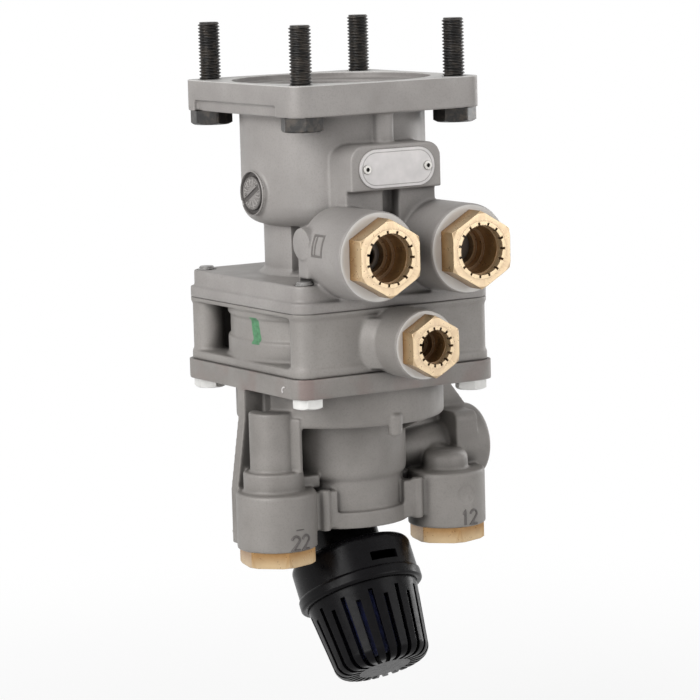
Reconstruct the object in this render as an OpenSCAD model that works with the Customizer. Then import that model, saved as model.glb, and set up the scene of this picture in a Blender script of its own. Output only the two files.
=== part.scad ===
// Dual-circuit foot brake valve for a truck: three stacked housings, brass air ports,
// a plunger with two pistons and two double valves inside, and a slanted exhaust silencer.
// The valve axis is Z, the top of the mounting flange is z = 0 and the front ports face -Y.

/* [Mounting flange] */
// Width of the square mounting flange
flange_w = 99; // [96:0.5:106]
// Thickness of the mounting flange at its corners
flange_t = 14; // [12:0.5:16]
// Corner radius of the mounting flange
flange_corner_r = 7; // [4:0.5:9]
// Height of the step cut into the lower half of the flange's left side
flange_step_h = 5; // [3:0.5:7]
// Depth of that step
flange_step_depth = 2; // [1:0.5:3]
// Radius of the shallow locating recess in the flange's top
locating_r = 45; // [42:0.5:46]
// Depth of the locating recess
locating_depth = 3; // [2:0.5:5]
// Spacing of the four mounting bolts, both ways
bolt_spacing = 80; // [78:0.5:84]
// Diameter of the mounting bolts
bolt_d = 10; // [8:1:11]
// Length of the mounting bolts under their heads
bolt_length = 40; // [30:1:50]
// Width across flats of the mounting bolts' heads
bolt_head_af = 17; // [15:1:18]
// Height of the mounting bolts' heads
bolt_head_h = 6.4; // [5:0.2:8]
// Depth by which the bolts' shanks in the flange are thinner than their threads
bolt_relief = 0.25; // [0.2:0.05:0.5]

/* [Upper housing] */
// Height of the upper housing
upper_h = 99.5; // [96:0.5:112]
// Outer radius of the piston barrel
barrel_r = 42; // [40:0.5:43]
// Depth of the piston bore under the flange's top
piston_bore_depth = 58; // [54:0.5:60]
// Radius of the piston bore
piston_bore_r = 35.5; // [34:0.25:37]
// Thickness of the barrel's floor
barrel_floor = 6.5; // [5:0.5:8]
// Radius of the rounded lower edge of the barrel
barrel_round = 10; // [6:0.5:12]
// Outer radius of the neck under the barrel
neck_r = 32.4; // [31:0.2:34]
// Radius of the air chambers in the neck
neck_chamber_r = 24; // [22:0.5:26]
// Thickness of the seat plate between the two air chambers
seat_plate_t = 3; // [2:0.5:5]
// Height of the seat plate's lower face over the upper joint
seat_rise = 24.5; // [23:0.5:26]
// Radius of the air transfer hole to the relay piston
transfer_hole_r = 2; // [1:0.5:2.5]

/* [Housing joints] */
// Width of the square joint flange at the foot of the upper housing
joint_flange_w = 99; // [97:0.5:101]
// Height of that joint flange with its lip
joint_flange_h = 12.5; // [10:0.5:14]
// Width of the lips where the housings meet
joint_lip_w = 102.2; // [101:0.2:104]
// Height of the lip on the upper housing
upper_lip_h = 5; // [3:0.5:6]
// Corner radius of the joint flanges
joint_corner_r = 8; // [6:0.5:10]
// Spacing of the four housing screws, both ways
screw_spacing = 86.6; // [84:0.2:88]
// Diameter of the housing screws
screw_d = 8; // [6:1:8]
// Width across flats of the housing screws' heads
screw_head_af = 13; // [11:1:14]
// Height of the housing screws' heads
screw_head_h = 4.6; // [3.5:0.1:5.5]
// Length by which the housing screws' tips stand out on top
screw_tip_out = 1.4; // [0.5:0.1:3]
// Width of the grooves for the joint seal rings
joint_seal_w = 2.4; // [1.6:0.2:2.6]
// Depth of the grooves for the joint seal rings
joint_seal_h = 1.8; // [1:0.2:2.4]

/* [Middle housing] */
// Height of the middle housing
middle_h = 28.5; // [27:0.5:34]
// Outer radius of the middle housing's round bowl
bowl_r = 50; // [49:0.2:50.4]
// Radius of the relay piston bore
relay_bore_r = 44.5; // [43:0.25:45]
// Thickness of the middle housing's floor
middle_floor = 6; // [5:0.5:7]
// Height of the middle housing's top lip
middle_top_lip_h = 2; // [1.5:0.5:3]
// Height of the middle housing's bottom lip
middle_bottom_lip_h = 4; // [3:0.5:5]
// Radius of the screw columns at the middle housing's corners
column_r = 7; // [6:0.2:7.6]
// Thickness of the flat front wall of the middle housing
front_wall = 6; // [5:0.5:9]
// Depth of the recessed band round the bowl
band_depth = 1.2; // [0.6:0.2:1.6]
// Height of the recessed band
band_h = 10; // [6:0.5:12]

/* [Lower housing] */
// Height of the lower housing from its joint to its foot
lower_h = 74; // [73:0.5:84]
// Thickness of the lower housing's square flange
lower_flange_t = 9; // [7:0.5:10]
// Width of the lower housing's square flange
lower_flange_w = 105; // [103:0.5:106]
// Corner radius of the lower housing's flange
lower_corner_r = 9; // [7:0.5:10]
// Outer radius of the wide band under the flange
wide_band_r = 47.5; // [46:0.5:49]
// Depth of the wide band's foot under the lower joint
wide_band_depth = 25.5; // [24:0.5:27]
// Radius of the wide band's rounded lower edge
wide_band_round = 1.5; // [1:0.5:3]
// Outer radius of the body under the wide band
body_r = 29.6; // [29:0.2:30]
// Radius of the rounded foot of that body
body_round = 5; // [2:0.5:6]
// Depth of that body's foot under the lower joint
body_depth = 54; // [52:0.5:56]
// Outer radius of the collar between the body and the foot ring
waist_r = 27.8; // [27.4:0.2:28.6]
// Outer radius of the foot ring
foot_r = 30.4; // [29.5:0.2:31.5]
// Height of the foot ring
foot_h = 7.5; // [5:0.5:9]
// Radius of the relay piston's lower air chamber
relay_chamber_r = 38; // [36:0.5:39]
// Depth of that chamber under the lower joint
relay_chamber_depth = 20; // [18:0.5:21]
// Radius of the lower valve's chamber
lower_chamber_r = 23; // [21:0.5:23.4]
// Distance of the side fins' outer edge from the axis, at the top
fin_reach_top = 52.5; // [50:0.5:52.5]
// Thickness of the side fins
fin_t = 6; // [4:0.5:8]

/* [Front ports] */
// Distance between the two front ports
front_port_spacing = 47.4; // [46:0.2:50]
// Height of the front ports over the upper joint
front_port_rise = 25.5; // [24.5:0.5:27]
// Radius of the front port bosses
front_boss_r = 20; // [19:0.5:20.5]
// Distance of the front port bosses' faces from the axis
front_boss_reach = 74; // [70:0.5:80]
// Length of the front port bosses
front_boss_length = 34; // [30:0.5:36]
// Radius of the air passages in the upper housing
front_passage_r = 5; // [4:0.5:6]

/* [Control port] */
// Depth of the control port under the upper joint
control_port_drop = 15.3; // [14.5:0.1:16]
// Radius of the control port boss
control_boss_r = 15.6; // [14.4:0.2:16]
// Distance of the control port boss' face from the axis
control_boss_reach = 73; // [66:0.5:78]
// Radius of the air passage of the control port
control_passage_r = 4; // [3:0.5:5]

/* [Bottom ports] */
// Distance of the bottom ports from the axis, to each side
bottom_port_x = 45.7; // [45:0.1:48]
// Distance of the bottom ports from the axis, to the front
bottom_port_y = 17.4; // [16:0.2:19]
// Radius of the bottom port bosses
bottom_boss_r = 18; // [17.4:0.2:18.4]
// Depth of the bottom port bosses' faces under the lower joint
bottom_boss_depth = 79.3; // [77:0.1:84]
// Height of the bottom port bosses
bottom_boss_h = 25.5; // [22:0.5:27]
// Radius of the tower over the left bottom port
tower_r = 10.3; // [9:0.1:11]
// Depth of the tower's top under the lower joint
tower_depth = 18; // [16:0.5:19]
// Radius of the collar under the tower
tower_collar_r = 13.5; // [12:0.5:15]
// Height of the collar under the tower
tower_collar_h = 9; // [6:0.5:10]
// Radius of the dome over the right bottom port
dome_r = 10.3; // [9:0.1:11]
// Radius of the blank side boss
blank_boss_r = 18; // [16:0.2:18.4]
// Distance of the blank side boss' face from the axis
blank_boss_reach = 72; // [66:0.5:76]
// Length of the blank side boss
blank_boss_length = 20; // [16:0.5:24]
// Depth of the blank side boss' axis under the lower joint
blank_boss_depth = 46; // [45:0.5:47]
// Radius of the vertical air passages in the lower housing
bottom_passage_r = 5.5; // [4:0.5:6]

/* [Port connectors] */
// Width across flats of the large connectors
large_af = 30; // [28:1:32]
// Height of the large connectors' hexagons
large_hex_h = 9.6; // [7:0.2:11]
// Height of the bottom connectors' hexagons
bottom_hex_h = 7.3; // [6:0.1:9]
// Width across flats of the small connector
small_af = 24; // [22:1:26]
// Height of the small connector's hexagon
small_hex_h = 8.5; // [6:0.5:10]
// Radius of the large connectors' shanks in their bosses
large_shank_r = 12.4; // [12:0.2:13]
// Length of the large connectors' shanks
large_shank_l = 12; // [10:0.5:14]
// Radius of the small connector's shank in its boss
small_shank_r = 9; // [8.8:0.2:10]
// Length of the small connector's shank
small_shank_l = 11; // [9:0.5:13]
// Radius of the large connectors' bores
large_bore_r = 10.6; // [10:0.1:11]
// Radius of the small connector's bore
small_bore_r = 7.2; // [6.8:0.1:7.4]
// Thickness of the retaining rings in the connectors' mouths
collet_t = 4; // [3:0.5:5]
// Wall of those rings
collet_wall = 1.8; // [1.4:0.1:2]
// Clearance of those rings over the bores
collet_ease = 0.4; // [0.2:0.1:0.6]
// Number of notches in each retaining ring
collet_notches = 15; // [8:1:18]
// Width of a notch
notch_w = 1; // [0.6:0.1:1.4]
// Thickness of the seal rings under the connectors' hexagons
port_seal_w = 1.4; // [1:0.1:1.6]

/* [Nameplate] */
// Width of the nameplate block
block_w = 47; // [44:0.5:48]
// Height of the nameplate block
block_h = 21; // [19:0.5:23]
// Distance of the nameplate block's face from the axis
block_reach = 53; // [50:0.5:58]
// Radius of the block's upper corners
block_corner_r = 7; // [3:0.5:9]
// Depth by which the block is cut back under its face
block_undercut = 5; // [3:0.5:7]
// Depth of the nameplate's middle under the flange's top
plate_drop = 37.8; // [36:0.2:40]
// Width of the nameplate
plate_w = 39; // [34:0.5:41]
// Height of the nameplate
plate_h = 17; // [14:0.5:18]
// Thickness of the nameplate
plate_t = 0.8; // [0.5:0.1:1.2]
// Distance between the two rivets
rivet_spacing = 31.6; // [28:0.2:32]
// Radius of the rivets' heads
rivet_r = 2.1; // [1.6:0.1:2.4]
// Radius of the rivets' shanks
rivet_shank_r = 1.2; // [0.8:0.1:1.4]

/* [Date dial] */
// Radius of the cast date dial on the left side of the barrel
dial_r = 10.2; // [8:0.2:11]
// Depth of the dial's middle under the flange's top
dial_drop = 49.5; // [46:0.5:50]
// Height by which the dial stands out of the barrel
dial_out = 1.6; // [1:0.2:2.4]

/* [Plunger] */
// Travel of the plunger against the rubber spring
press_travel = 4; // [2:0.5:5]
// Depth of the retaining ring's top under the flange's top
cover_depth = 14; // [13:0.5:15]
// Thickness of the retaining ring over the guide plate
cover_ring_t = 1.5; // [1:0.25:2]
// Depth of the retaining rings' grooves in the walls
ring_groove = 1.6; // [1:0.2:2]
// Thickness of the guide plate
guide_plate_t = 6; // [5:0.5:7]
// Width of the shoulder that the guide plate rests on
guide_shoulder = 1; // [0.6:0.1:1.4]
// Radius of the plunger's stem
plunger_r = 17; // [15:0.5:18]
// Height of the plunger's stem over the guide plate
plunger_rise = 10; // [8:0.5:11]
// Radius of the cup in the plunger's top
plunger_cup_r = 9; // [7:0.5:10]
// Radius of the plunger's foot
plunger_foot_r = 24; // [22:0.5:26]
// Thickness of the plunger's foot
plunger_foot_t = 4; // [3:0.5:5]
// Height of the rubber spring
rubber_h = 16; // [14:0.5:17]
// Outer radius of the rubber spring
rubber_r = 21; // [18:0.5:22]
// Radius of the rubber spring's hole
rubber_hole_r = 7; // [5:0.5:9]

/* [Pistons] */
// Travel of the upper piston
piston_travel = 5; // [3:0.5:5.5]
// Thickness of the upper piston's floor
piston_floor = 4; // [3:0.5:5]
// Wall of the upper piston's skirt
piston_wall = 5.5; // [5:0.5:6]
// Height of the upper piston's skirt over its floor
piston_skirt_h = 12; // [9:0.5:13]
// Radius of the hollow stem that closes the upper outlet
piston_stem_r = 9.5; // [9:0.25:10]
// Radius of the seat openings in both housings
seat_hole_r = 11; // [10.5:0.25:11.5]
// Gap between the upper stem and its valve at rest
upper_valve_gap = 1.5; // [0.8:0.1:2]
// Travel of the relay piston
relay_travel = 4; // [3:0.5:4.5]
// Depth of the relay piston's top under the upper joint
relay_drop = 4.5; // [4:0.25:5]
// Thickness of the relay piston's head
relay_head_t = 6; // [5:0.5:6.5]
// Outer radius of the relay piston's stem
relay_stem_r = 15; // [14:0.5:15]
// Outer radius of the relay piston's valve end
relay_tip_r = 9.5; // [9:0.25:10]
// Gap between the relay piston and the lower valve at rest
lower_valve_gap = 1.3; // [0.8:0.1:2]
// Radial running clearance of pistons, plunger and valve tubes
running_gap = 0.06; // [0.03:0.01:0.09]
// Radial depth of the piston seals' grooves
seal_groove = 3; // [2:0.25:3.5]
// Height of the piston seals' grooves
seal_groove_h = 3.2; // [2.4:0.2:3.4]

/* [Double valves] */
// Outer radius of the valve tubes
tube_r = 6.5; // [6:0.25:7]
// Radius of the bores through the valve tubes
tube_bore_r = 4.5; // [3.5:0.25:5]
// Radius of the valve heads
valve_head_r = 14; // [13.4:0.2:15]
// Thickness of the valve heads
valve_head_t = 2; // [1.5:0.25:2.5]
// Thickness of the rubber on the valve heads
valve_rubber_t = 1; // [0.8:0.1:1.5]
// Height of the upper valve's guide
upper_guide_h = 8; // [7:0.5:9]
// Height of the lower valve's guide
lower_guide_h = 12; // [9:0.5:13]
// Depth of the retaining grooves from the chambers' mouths
guide_ring_depth = 2; // [1.5:0.25:2.5]
// Thickness of the guides' retaining rings
guide_ring_t = 1.5; // [1:0.25:2]
// Length by which the lower valve's tube reaches below its guide
tube_below = 3; // [2:0.5:4]
// Length by which the upper valve's tube reaches into the relay piston
tube_engage = 6; // [5:0.5:8]

/* [Springs] */
// Wire radius of the return springs
wire_r = 0.8; // [0.6:0.1:0.9]
// Coil radius of the upper piston's return spring
piston_spring_r = 29; // [27:0.5:31]
// Coil radius of the relay piston's return spring
relay_spring_r = 24; // [20:0.5:30]
// Coil radius of the two valve springs
valve_spring_r = 10; // [9:0.5:12]
// Turns of the wide springs
wide_spring_turns = 3.5; // [3:0.5:4]
// Turns of the valve springs
valve_spring_turns = 4.5; // [4:0.5:6]

/* [Silencer] */
// Slant of the silencer towards the front, in degrees
silencer_tilt = 30; // [20:1:34]
// Depth of the slant's pivot under the housing's foot
silencer_pivot_drop = 9; // [8:0.5:11]
// Outer radius of the silencer's slanted neck
silencer_neck_r = 16; // [14:0.5:16.5]
// Depth of the neck's flange in the housing's foot
spigot_depth = 10; // [8:0.5:12]
// Depth of the recess in that flange under the lower valve's tube
spigot_recess = 6; // [5.5:0.5:6.5]
// Radius of the air way through the neck
silencer_bore_r = 8; // [6:0.5:8.5]
// Distance of the collar's top from the pivot
collar_start = 8; // [7:0.5:10]
// Length of the collar
collar_length = 22; // [19:0.5:24]
// Radius of the collar's top
collar_top_r = 28.1; // [27.4:0.1:28.4]
// Radius of the lip round the collar's mouth
collar_mouth_r = 28.9; // [28.6:0.1:30]
// Length of that lip
collar_lip = 6; // [4:0.5:8]
// Rounding of the collar's top edge
collar_round = 4; // [2:0.5:5]
// Wall of the collar
collar_wall = 2.4; // [2:0.1:2.6]
// Width of the snap window in the collar
window_w = 14; // [10:0.5:16]
// Height of the snap window in the collar
window_h = 4; // [3:0.5:5]
// Turn of the snap window from the right side towards the front
window_turn = 89; // [80:1:110]
// Length by which the cage reaches into the collar
cage_overlap = 7; // [5:0.5:9]
// Length of the cage below the collar
cage_length = 35; // [30:0.5:40]
// Radius of the cage at its foot
cage_foot_r = 22.4; // [20:0.2:24]
// Rounding of the cage's foot
cage_round = 6; // [3:0.5:7]
// Depth of the cage's ribs
rib_depth = 4; // [3:0.5:5]
// Number of slots between the cage's ribs
slot_count = 24; // [16:1:28]
// Width of a slot
slot_w = 2.2; // [1.4:0.2:2.6]
// Distance of the slots' upper ends from the collar
slot_drop = 3.4; // [2:0.2:5]
// Radius of the solid disc in the middle of the cage's foot
cage_hub_r = 12; // [11:0.5:14]
// Clearance between the filter element and the cage
element_gap = 0.6; // [0.4:0.1:1]

/* [Hidden] */
$fn = 96;
eps = 0.5;
hex_sides = 6;
coil_sides = 6;
coil_steps = 14;
hole_play = 0.3;
joint_clearance = 0.4;
seal_ease = 0.1;
edge_round = 1.2;
joint_1 = -upper_h;
joint_2 = joint_1 - middle_h;
foot_z = joint_2 - lower_h;
lower_flange_z = joint_2 - lower_flange_t;
bore_floor_z = -piston_bore_depth;
bowl_foot_z = bore_floor_z - barrel_floor;
joint_flange_z = joint_1 + joint_flange_h;
front_port_z = joint_1 + front_port_rise;
control_port_z = joint_1 - control_port_drop;
bottom_face_z = joint_2 - bottom_boss_depth;
seat_1_z = joint_1 + seat_rise;
seat_1_top = seat_1_z + seat_plate_t;
wide_foot_z = joint_2 - wide_band_depth;
body_foot_z = joint_2 - body_depth;
chamber_floor_z = joint_2 - relay_chamber_depth;
seat_2_z = chamber_floor_z - seat_plate_t;
middle_floor_z = joint_2 + middle_floor;
block_foot_z = -plate_drop - block_h / 2 + 0.8;
cover_z = -cover_depth - cover_ring_t;
guide_plate_z = cover_z - guide_plate_t;
guide_bore_r = piston_bore_r + guide_shoulder;
plunger_foot_z = guide_plate_z - plunger_foot_t;
piston_cup_z = plunger_foot_z - rubber_h;
piston_foot_z = piston_cup_z - piston_floor;
piston_r = piston_bore_r - running_gap;
relay_r = relay_bore_r - running_gap;
relay_top_z = joint_1 - relay_drop;
relay_foot_z = relay_top_z - relay_head_t;
guide_1_foot = joint_1 + guide_ring_depth + guide_ring_t;
guide_1_top = guide_1_foot + upper_guide_h;
guide_2_foot = foot_z + spigot_depth + guide_ring_depth + guide_ring_t;
guide_2_top = guide_2_foot + lower_guide_h;
cage_top_r = collar_top_r - collar_wall + 0.3;
cage_start = collar_start + collar_length;
cage_end = cage_start + cage_length;
blank_z = joint_2 - blank_boss_depth;
tower_shift = [0, 1.8];
bottom_hex_turn = 17;
column_at = screw_spacing / 2;
bolt_at = bolt_spacing / 2;
left_port = [-bottom_port_x, -bottom_port_y];
right_port = [bottom_port_x, -bottom_port_y];
tower_at = left_port + tower_shift;

// Flat rounded square with true corner arcs
module rounded_square(w, r) {
    square([w, w - 2 * r], center = true);
    square([w - 2 * r, w], center = true);
    for (x = [-1, 1], y = [-1, 1]) {
        translate([x * (w / 2 - r), y * (w / 2 - r)]) circle(r);
    }
}

// Rounded square plate between two heights
module plate(w, r, z_low, z_high) {
    translate([0, 0, z_low]) linear_extrude(z_high - z_low) rounded_square(w, r);
}

// Plain round bar between two heights
module bar(r, z_low, z_high) {
    translate([0, 0, z_low]) cylinder(h = z_high - z_low, r = r);
}

// Ring of rectangular section between two heights
module ring(r_out, r_in, z_low, z_high) {
    rotate_extrude() translate([r_in, z_low]) square([r_out - r_in, z_high - z_low]);
}

// Ring whose outer edges are rounded, for seals
module seal_ring(r_out, r_in, z_low, z_high) {
    h = z_high - z_low;
    e = min(h, r_out - r_in) / 3;
    rotate_extrude() {
        translate([r_in, z_low]) square([r_out - r_in - e, h]);
        translate([r_in, z_low + e]) square([r_out - r_in, h - 2 * e]);
        for (z = [z_low + e, z_high - e]) translate([r_out - e, z]) circle(e);
    }
}

// Round boss standing along +Z, with a rounded edge at its free end
module boss(r, h, e = edge_round) {
    rotate_extrude() {
        square([r, h - e]);
        square([r - e, h]);
        translate([r - e, h - e]) circle(e);
    }
}

// Round bar from one point to another
module rod(p, q, r) {
    d = q - p;
    l = norm(d);
    translate(p) rotate([0, acos(d.z / l), atan2(d.y, d.x)]) cylinder(h = l, r = r);
}

// Copies at the four corners of a square
module at_corners(half) {
    for (x = [-half, half], y = [-half, half]) translate([x, y, 0]) children();
}

// Puts a piece that is drawn along +Z onto the front face of a port boss
module at_front(x, reach, z) {
    translate([x, -reach, z]) rotate([90, 0, 0]) children();
}

// Puts a piece that is drawn along +Z onto the lower face of a bottom port boss
module at_bottom(at) {
    translate([at.x, at.y, bottom_face_z]) rotate([180, 0, 0]) children();
}

// Hexagonal prism with rounded corners at its free end, drawn along +Z
module hexagon(af, h, chamfer) {
    e = af / sqrt(3);
    intersection() {
        cylinder(h = h, r = e, $fn = hex_sides);
        union() {
            cylinder(h = h - chamfer, r = e + eps);
            translate([0, 0, h - chamfer]) cylinder(h = chamfer, r1 = e, r2 = e - 1.8 * chamfer);
        }
    }
}

// Height of a coil spring's wire at one step, with flat end turns
function coil_z(i, n, turns, z_low, z_high) =
    let (flat = 0.75 / turns, t = (i / n - flat) / (1 - 2 * flat))
    z_low + (z_high - z_low) * max(0, min(1, t));

// Round wire wound into a coil spring between two heights
module coil(r, z_low, z_high, turns) {
    n = round(turns * coil_steps);
    low = z_low + wire_r;
    high = z_high - wire_r;
    points = [
        for (i = [0:n], k = [0:coil_sides - 1])
            let (a = 360 * turns * i / n, s = 360 * k / coil_sides, q = r + wire_r * cos(s))
            [q * cos(a), q * sin(a), coil_z(i, n, turns, low, high) + wire_r * sin(s)]
    ];
    sides = [
        for (i = [0:n - 1], k = [0:coil_sides - 1])
            let (j = (k + 1) % coil_sides, a = i * coil_sides, b = a + coil_sides)
            each [[a + k, b + k, b + j], [a + k, b + j, a + j]]
    ];
    first = [for (k = [0:coil_sides - 1]) k];
    last = [for (k = [coil_sides - 1:-1:0]) n * coil_sides + k];
    polyhedron(points, concat(sides, [first, last]));
}

// Outer form of the upper housing
module upper_form() {
    difference() {
        plate(flange_w, flange_corner_r, -flange_t, 0);
        step_w = bolt_spacing - 8;
        translate([-flange_w / 2 - eps, -step_w / 2 + 3, -flange_t - eps]) {
            cube([flange_step_depth + eps, step_w, flange_step_h + eps]);
        }
    }
    rotate_extrude() {
        translate([0, bowl_foot_z + barrel_round]) square([barrel_r, -bowl_foot_z - barrel_round]);
        translate([0, bowl_foot_z]) square([barrel_r - barrel_round, barrel_round]);
        translate([barrel_r - barrel_round, bowl_foot_z + barrel_round]) circle(barrel_round);
    }
    bar(neck_r, joint_flange_z - eps, bowl_foot_z + eps);
    translate([0, 0, joint_flange_z - eps]) cylinder(h = 3, r1 = neck_r + 3, r2 = neck_r);
    plate(joint_flange_w, flange_corner_r, joint_1 + upper_lip_h - eps, joint_flange_z);
    plate(joint_lip_w, joint_corner_r, joint_1, joint_1 + upper_lip_h);
    front_mass();
    plate_block();
    dial_boss();
}

// Port bosses and the web that joins them to the neck
module front_mass() {
    root_y = front_boss_length - front_boss_reach;
    half_web = front_port_spacing / 2 + 5;
    for (x = [-1, 1]) {
        translate([x * front_port_spacing / 2, root_y, front_port_z]) {
            rotate([90, 0, 0]) boss(front_boss_r, front_boss_length);
        }
    }
    translate([-half_web, root_y, joint_flange_z - eps]) {
        cube([2 * half_web, -root_y, bowl_foot_z + 2 * eps - joint_flange_z]);
    }
    // Small side stub with its foot on the joint flange
    stub_r = 7;
    stub_x = -front_port_spacing / 2 - front_boss_r - 1.5;
    stub_y = root_y - 3;
    stub_z = front_port_z + 5;
    translate([stub_x, stub_y, stub_z]) rotate([0, 90, 0]) boss_inward(stub_r, front_boss_r);
    translate([stub_x + 2, stub_y - 3, joint_flange_z - eps]) {
        cube([8, 8, stub_z - joint_flange_z]);
    }
}

// Round bar along +Z with a rounded near edge
module boss_inward(r, h) {
    translate([0, 0, h]) mirror([0, 0, 1]) boss(r, h);
}

// Raised block that carries the nameplate, with its webs down to the port bosses
module plate_block() {
    top = -plate_drop + block_h / 2;
    side = block_w / 2;
    translate([0, -block_reach, 0]) rotate([-90, 0, 0]) linear_extrude(block_reach - 20) {
        translate([-side, -top + block_corner_r]) square([block_w, top - block_corner_r - block_foot_z]);
        translate([block_corner_r - side, -top]) square([block_w - 2 * block_corner_r, block_corner_r]);
        for (x = [-1, 1]) {
            translate([x * (side - block_corner_r), -top + block_corner_r]) circle(block_corner_r);
        }
    }
    web_gap = 4;
    web_y = -block_reach + block_undercut;
    for (x = [-side, web_gap]) {
        translate([x, web_y, front_port_z]) {
            cube([side - web_gap, block_reach - block_undercut - 20, block_foot_z + eps - front_port_z]);
        }
    }
    // Round rib between the flange and the block
    translate([0, -barrel_r, top - eps]) cylinder(h = -flange_t - top + 2 * eps, r = 5);
}

// Cast boss under the date dial
module dial_boss() {
    translate([-barrel_r - dial_out, 0, -dial_drop]) rotate([0, 90, 0]) {
        boss_inward(dial_r, dial_out + 8);
    }
}

// Raised field and slot of the date dial, cut into its boss
module dial_cut() {
    ring_w = 1.2;
    field_depth = 0.8;
    translate([-barrel_r - dial_out - eps, 0, -dial_drop]) rotate([0, 90, 0]) {
        difference() {
            cylinder(h = field_depth + eps, r = dial_r - ring_w);
            translate([0, 0, -eps]) cylinder(h = field_depth + 3 * eps, r = dial_r - 2.4 * ring_w);
        }
        rotate([0, 0, 38]) translate([-dial_r + ring_w, -0.7, 0]) {
            cube([2 * dial_r - 2 * ring_w, 1.4, field_depth + eps]);
        }
    }
}

// Hollow of the upper housing: recess, piston bore, air chambers and grooves
module upper_hollow() {
    bar(locating_r, -locating_depth, eps);
    bar(piston_bore_r, bore_floor_z, 0);
    bar(guide_bore_r, guide_plate_z, 0);
    bar(guide_bore_r + ring_groove, cover_z, -cover_depth);
    bar(neck_chamber_r, seat_1_top, bore_floor_z + eps);
    bar(seat_hole_r, seat_1_z - eps, seat_1_top + eps);
    bar(neck_chamber_r, joint_1 - eps, seat_1_z);
    bar(neck_chamber_r + ring_groove, guide_1_foot - guide_ring_t, guide_1_foot);
    translate([0, (neck_r + neck_chamber_r) / 2, 0]) {
        bar(transfer_hole_r, joint_1 - eps, bore_floor_z + eps);
    }
}

// Air passages from the front ports to the two chambers in the neck
module front_passages() {
    port_y = -front_boss_reach + large_shank_l;
    port_x = front_port_spacing / 2;
    delivery_z = (bore_floor_z + seat_1_top) / 2 + 1;
    supply_z = seat_1_z - front_passage_r - 3;
    inner = [8, -10];
    rod([port_x, port_y, front_port_z], [inner.x, inner.y, delivery_z], front_passage_r);
    rod([-port_x, port_y, front_port_z], [-inner.x, inner.y, supply_z], front_passage_r);
}

module upper_housing() {
    color([0.56, 0.55, 0.53]) difference() {
        upper_form();
        upper_hollow();
        front_passages();
        for (x = [-1, 1]) {
            at_front(x * front_port_spacing / 2, front_boss_reach, front_port_z) {
                shank_hole(large_shank_r, large_shank_l);
            }
        }
        at_corners(bolt_at) bar(bolt_d / 2 + hole_play, -flange_t - eps, eps);
        at_corners(column_at) bar(screw_d / 2, joint_1 - eps, joint_flange_z + eps);
        at_corners(column_at) bar(screw_d / 2 + hole_play, joint_flange_z, joint_flange_z + screw_tip_out + 1);
        for (x = [-1, 1]) {
            translate([x * rivet_spacing / 2, -block_reach - eps, -plate_drop]) {
                rotate([-90, 0, 0]) cylinder(h = 6 + eps, r = rivet_shank_r);
            }
        }
        dial_cut();
    }
}

// Hole that takes a connector's shank, with a chamfer for its seal ring, drawn along +Z
module shank_hole(r, l) {
    translate([0, 0, -l]) cylinder(h = l + eps, r = r);
    translate([0, 0, -port_seal_w]) cylinder(h = port_seal_w + eps, r = r + port_seal_w);
}

// Boss of the control port, cut back where it passes the two joint faces
module control_boss() {
    clear_y = lower_flange_w / 2 + joint_clearance;
    side = 2 * control_boss_r + 2;
    difference() {
        translate([0, -column_at, control_port_z]) {
            rotate([90, 0, 0]) boss(control_boss_r, control_boss_reach - column_at);
        }
        for (z = [joint_1, joint_2 - side]) translate([-side / 2, -clear_y, z]) cube([side, side, side]);
    }
}

module middle_housing() {
    inner = joint_lip_w - 2 * band_depth;
    top_lip_z = joint_1 - middle_top_lip_h;
    bottom_lip_z = joint_2 + middle_bottom_lip_h;
    band_z = joint_1 - 5.5;
    color([0.55, 0.54, 0.52]) difference() {
        union() {
            plate(joint_lip_w, joint_corner_r, top_lip_z, joint_1);
            plate(joint_lip_w, joint_corner_r, joint_2, bottom_lip_z);
            difference() {
                bar(bowl_r, bottom_lip_z - eps, top_lip_z + eps);
                ring(bowl_r + eps, bowl_r - band_depth, band_z - band_h, band_z);
            }
            at_corners(column_at) bar(column_r, bottom_lip_z - eps, top_lip_z + eps);
            for (y = [-column_at - column_r, column_at + column_r - front_wall]) {
                translate([-column_at, y, bottom_lip_z - eps]) {
                    cube([2 * column_at, front_wall, top_lip_z - bottom_lip_z + 2 * eps]);
                }
            }
            control_boss();
            // Cone at the root of the control port boss
            translate([0, -column_at - column_r + eps, control_port_z]) intersection() {
                rotate([90, 0, 0]) cylinder(h = 6, r1 = control_boss_r + 5, r2 = control_boss_r);
                cube([4 * control_boss_r, 20, top_lip_z - bottom_lip_z], center = true);
            }
        }
        bar(relay_bore_r, middle_floor_z, joint_1 + eps);
        bar(relay_stem_r + running_gap, joint_2 - eps, middle_floor_z + eps);
        stem_groove_z = joint_2 + (middle_floor - seal_groove_h) / 2;
        ring(relay_stem_r + seal_groove, relay_stem_r, stem_groove_z, stem_groove_z + seal_groove_h);
        translate([0, 0, joint_1 - joint_seal_h]) {
            ring(relay_bore_r + 1.4 + joint_seal_w, relay_bore_r + 1.4, 0, joint_seal_h + eps);
        }
        at_front(0, control_boss_reach, control_port_z) shank_hole(small_shank_r, small_shank_l);
        translate([0, -relay_bore_r + 2, control_port_z]) {
            rotate([90, 0, 0]) cylinder(h = control_boss_reach - relay_bore_r, r = control_passage_r);
        }
        at_corners(column_at) bar(screw_d / 2 + hole_play, joint_2 - eps, joint_1 + eps);
    }
}

// Half section of a round step whose lower outer edge is rounded
module turned_step(r, z_low, z_high, e) {
    translate([0, z_low + e]) square([r, z_high - z_low - e]);
    translate([0, z_low]) square([r - e, 2 * e]);
    translate([r - e, z_low + e]) circle(e);
}

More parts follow.
